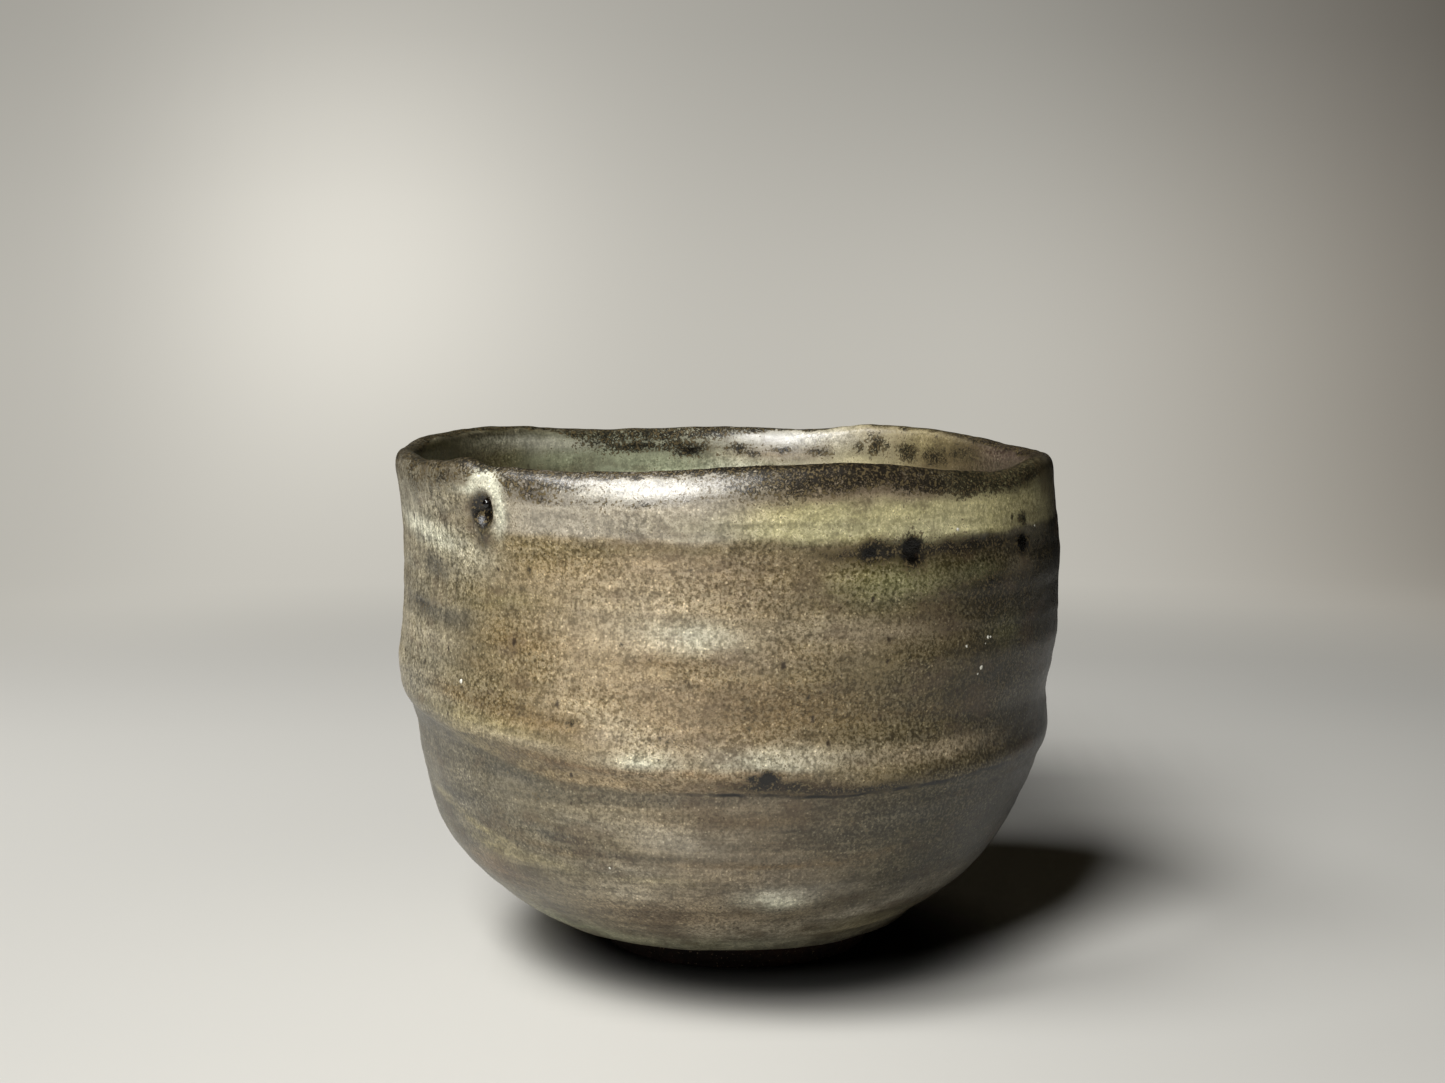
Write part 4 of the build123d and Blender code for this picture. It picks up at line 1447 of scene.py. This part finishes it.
def bareClay():
    # Unglazed iron-bearing stoneware, thrown and trimmed on the wheel, fired to a dull red-brown: gritty, dry
    # to the touch and without shine, with darker flashes and pale grains of sand.
    material, put = newMaterial("bare_iron_stoneware")
    finish = clayFinish
    place = put("TexCoord", output="Object")
    grit = grain(put, place, finish["grit"], 3.0, 0.65)
    fine = grain(put, place, finish["fine"], 1.0)
    flash = grain(put, place, finish["flash"])
    turned = grain(put, place, finish["turned"], stretch=(14, 14, 1))
    flashed = toLinear(finish["flashed"])
    colour = overlaid(put, toLinear(finish["colour"]), flash, 0.40, 0.62, 1.0, flashed)
    colour = shaded(put, colour, grit, 0.34, 0.66, 0.65, 1.35)
    colour = shaded(put, colour, turned, 0.35, 0.65, 0.82, 1.18)
    colour = overlaid(put, colour, fine, 0.66, 0.76, 0.55, toLinear(finish["sand"]))
    height = put("Math", {0: turned, 1: 1.4, 2: grit}, operation="MULTIPLY_ADD")
    normal = put("Bump", {"Strength": 1.0, "Distance": finish["bump"] * millimetre, "Height": height})
    rough = put("MapRange", {"Value": grit, "To Min": 0.72, "To Max": 0.92})
    shader = put("BsdfPrincipled", {"Base Color": colour, "Roughness": rough, "IOR": 1.5, "Normal": normal})
    put("OutputMaterial", {"Surface": shader})
    return material


clayMaterial = bareClay()
clayBody.data.materials.append(clayMaterial)
footRing.data.materials.append(clayMaterial)


def meltedGlass(name, patchSize, limits, colours, rough, ior):
    # glass whose colour and shine change in soft patches, from a pattern value to another
    material, put = newMaterial(name)
    place = put("TexCoord", output="Object")
    patches = grain(put, place, patchSize)
    colour = overlaid(put, toLinear(colours[0]), patches, *limits, 1.0, toLinear(colours[1]))
    roughness = put("MapRange", {"Value": patches, "To Min": rough[0], "To Max": rough[1]})
    shader = put("BsdfPrincipled", {"Base Color": colour, "Roughness": roughness, "IOR": ior})
    put("OutputMaterial", {"Surface": shader})
    return material


# An iron-bearing stone that melted out of the clay in the kiln: black glass with a hard wet shine.
meltedIron = meltedGlass("melted_iron_glass", 0.6, (0.5, 0.7), ("#060505", "#1c130d"), (0.03, 0.14), 1.6)
bead.data.materials.append(meltedIron)
# Feldspar grains melted in the kiln: milky white glass, softly shining.
milkyGlass = meltedGlass("melted_feldspar", 0.3, (0.4, 0.65), ("#cfcdbd", "#f0eee2"), (0.18, 0.35), 1.52)
feldspar.data.materials.append(milkyGlass)
print("materials made")


studio = {
    "floorColour": "#d9d7d0",
    "reach": 1.6,  # metres of paper in front of the bowl and at its sides
    "floorEnd": 0.52,  # metres behind the bowl, where the paper starts to sweep up
    "sweep": 0.15,
    "wallHeight": 0.9,
    "wallRows": 24,
    "farFrom": (0.30, 0.56),  # metres from the bowl over which the even far tone takes over
    "farGrey": 0.52,
    # how much the painted light dims and over which metres: to the right, to the left and upwards, more so at
    # the right
    "farRight": (0.37, 0.10, 0.44),
    "farLeft": (0.08, 0.20, 0.33),
    "farUp": (0.26, 0.08, 0.30),
    "farUpRight": (0.26, -0.1, 0.25),
    "nearGrey": 0.82,
    # painted light in the near tone: how much brighter it grows behind the bowl and in a strip before it,
    # dimmer at its right
    "nearBehind": (0.18, -0.09, 0.22),
    "nearStrip": (0.12, -0.03, 0.09),
    "nearRight": (0.10, 0.04, 0.26),
    "nearRightBehind": (0.14, -0.06, 0.08),
    # soft boxes: degrees from the front, degrees up, distance, size across and upright, watts
    "boxes": ((-24.0, 40.0, 1.1, 0.42, 0.74, 11.9), (-68.0, 58.0, 1.1, 0.45, 0.45, 6.2)),
    "skyStrength": 0.022,
    "skyColour": "#efdfbc",
    "seenSky": "#bcb9b0",
    # a painted contact shadow: where the paper grows dark round the foot, and over which radii
    "paintedContactShadow": ((0.008, -0.008), 0.024, 0.056),
    # soft patches of painted light and shade on the paper: strength, middle and half sizes in metres
    "glow": (0.25, (-0.175, 0.14), (0.10, 0.11)),  # painted glow on the wall
    "bounce": (0.28, (0.080, -0.002), (0.026, 0.030)),  # painted bounce light beside the bowl
    "shade": (0.62, (0.062, 0.130), (0.036, 0.056)),  # painted shade behind its right
    # the camera
    "lens": 57.3,
    "sensor": 36,
    "eye": (-0.00239, -0.4154, 0.1162),
    "lookDown": 6.0,
}

# one sheet of paper: the floor, a tight sweep and the wall behind
nearBowl = (0, 0.07, 30)
wallY = studio["floorEnd"] + studio["sweep"]
bend = np.radians(np.linspace(6, 90, 15))
floorY = unevenSteps(-studio["reach"], studio["floorEnd"], 90, [nearBowl])
bentY = studio["floorEnd"] + studio["sweep"] * np.sin(bend)
sweepY = np.concatenate([floorY, bentY, np.full(studio["wallRows"], wallY)])
wallZ = studio["sweep"] + np.linspace(0.012, studio["wallHeight"], studio["wallRows"])
sweepZ = np.concatenate([0 * floorY, studio["sweep"] * (1 - np.cos(bend)), wallZ])
sweepX = unevenSteps(-studio["reach"], studio["reach"], 130, [nearBowl, (0, 0.4, 5)])
gridX = np.broadcast_to(sweepX[None, :], (len(sweepY), len(sweepX)))
gridY = np.broadcast_to(sweepY[:, None], gridX.shape)
gridZ = np.broadcast_to(sweepZ[:, None], gridX.shape)
row, column = np.meshgrid(np.arange(len(sweepY) - 1), np.arange(len(sweepX) - 1), indexing="ij")
corner = row * len(sweepX) + column
paperFaces = np.stack([corner, corner + 1, corner + 1 + len(sweepX), corner + len(sweepX)], -1).reshape(-1, 4)
paperMesh = bpy.data.meshes.new("studio_paper")
paperMesh.from_pydata(np.stack([gridX, gridY, gridZ], -1).reshape(-1, 3), [], paperFaces.tolist())
paperMesh.polygons.foreach_set("use_smooth", np.ones(len(paperMesh.polygons), bool))
paper = addObject("studio_paper", paperMesh)


def patch(across, along, strength, middle, size):
    # a soft patch: a bell both ways
    return strength * bell(across, middle[0], size[0]) * bell(along, middle[1], size[1])


def eased(amount, low, high, value):
    # 0 below low, the amount above high and an eased rise between them
    return amount * smoothStep(low, high, value)


# how bright the paper looks far from the bowl: an even grey with painted light that falls off to the right
# and upwards, and a painted soft glow
tone = (studio["farGrey"] - eased(*studio["farRight"], gridX)) * (1 - eased(*studio["farLeft"], -gridX))
upwards, *heights = studio["farUp"]
upwards = upwards + eased(*studio["farUpRight"], gridX)
tone = tone * (1 - eased(upwards, *heights, gridZ)) + patch(gridX, gridZ, *studio["glow"])
dim = smoothStep(0.1, 0.4, gridX)
warm = np.stack([tone, tone * (0.965 - 0.05 * dim), tone * (0.87 - 0.09 * dim), np.ones(tone.shape)], -1)
# and near it, painted into the paper's colour: painted light brighter behind and beside the bowl, dimmer at
# its right, and a painted shadow behind its right and round the foot, where hardly any light comes in
bright = studio["nearGrey"] + eased(*studio["nearBehind"], gridY)
dimmer, *places = studio["nearRight"]
bright = bright - eased(dimmer + eased(*studio["nearRightBehind"], gridY), *places, gridX)
bright = bright + patch(gridX, gridY, *studio["bounce"])
bright = bright * (1 - patch(gridX, gridY, *studio["shade"]))
brighter, *strip = studio["nearStrip"]
bright = bright + brighter * bell(gridX, *strip) * (1 - smoothStep(-0.05, 0.10, gridY))
middle, dark, light = studio["paintedContactShadow"]
bright = bright * (0.06 + 0.94 * smoothStep(dark, light, np.hypot(gridX - middle[0], gridY - middle[1])))
lit = np.ones(tone.shape + (4,)) * toLinear(studio["floorColour"]) * bright[..., None]
lit[..., 3] = 1
far = smoothStep(*studio["farFrom"], np.hypot(gridX, gridY))
for field, values in (("farTone", warm), ("nearTone", lit), ("far", far[..., None])):
    addField(paperMesh, field, values.reshape(-1, values.shape[-1]))


def studioPaper():
    # Matt studio paper: near the bowl it takes light and shadow over a colour with painted light and shade.
    # Far off the eye sees a grey with painted light falloff and glow, and black flags keep its light from the
    # bowl.
    material, put = newMaterial("matt_studio_paper")
    near = put("BsdfDiffuse", {"Color": put("Attribute", output="Color", attribute_name="nearTone")})
    eye = put("LightPath", output="Is Camera Ray")
    tone = put("Attribute", output="Color", attribute_name="farTone")
    seen = put("Emission", {"Color": tone, "Strength": eye})
    away = put("Attribute", output="Fac", attribute_name="far")
    put("OutputMaterial", {"Surface": put("MixShader", {0: away, 1: near, 2: seen})})
    return material


paperMesh.materials.append(studioPaper())

world = bpy.data.worlds.new("studio")
scene.world = world
world.use_nodes = True
world.node_tree.nodes.clear()
put = partial(addNode, world.node_tree)
soft = put("Background", {"Color": toLinear(studio["skyColour"]), "Strength": studio["skyStrength"]})
pale = put("Background", {"Color": toLinear(studio["seenSky"]), "Strength": 1.0})
eye = put("LightPath", output="Is Camera Ray")
put("OutputWorld", {"Surface": put("MixShader", {0: eye, 1: soft, 2: pale})})

# a tall soft box at the front's left and a weaker one high at the left
for angle, height, distance, across, tall, watts in studio["boxes"]:
    light = bpy.data.lights.new("soft_box", "AREA")
    light.shape = "ELLIPSE"
    light.size, light.size_y = across, tall
    light.energy = watts
    box = addObject("soft_box", light)
    turn, lift = np.radians(front + angle), np.radians(height)
    toLight = np.array([np.cos(turn) * np.cos(lift), np.sin(turn) * np.cos(lift), np.sin(lift)])
    box.location = toLight * distance + [0, 0, bowlShape["lipHeight"] / 2 * millimetre]
    box.rotation_euler = Vector(toLight).to_track_quat("Z", "Y").to_euler()

cameraData = bpy.data.cameras.new("camera")
cameraData.lens = studio["lens"]
cameraData.sensor_width = studio["sensor"]
camera = addObject("camera", cameraData)
camera.location = studio["eye"]
camera.rotation_euler = (np.radians(90 - studio["lookDown"]), 0, 0)
scene.camera = camera
scene.view_settings.view_transform = "Standard"
print("studio made")
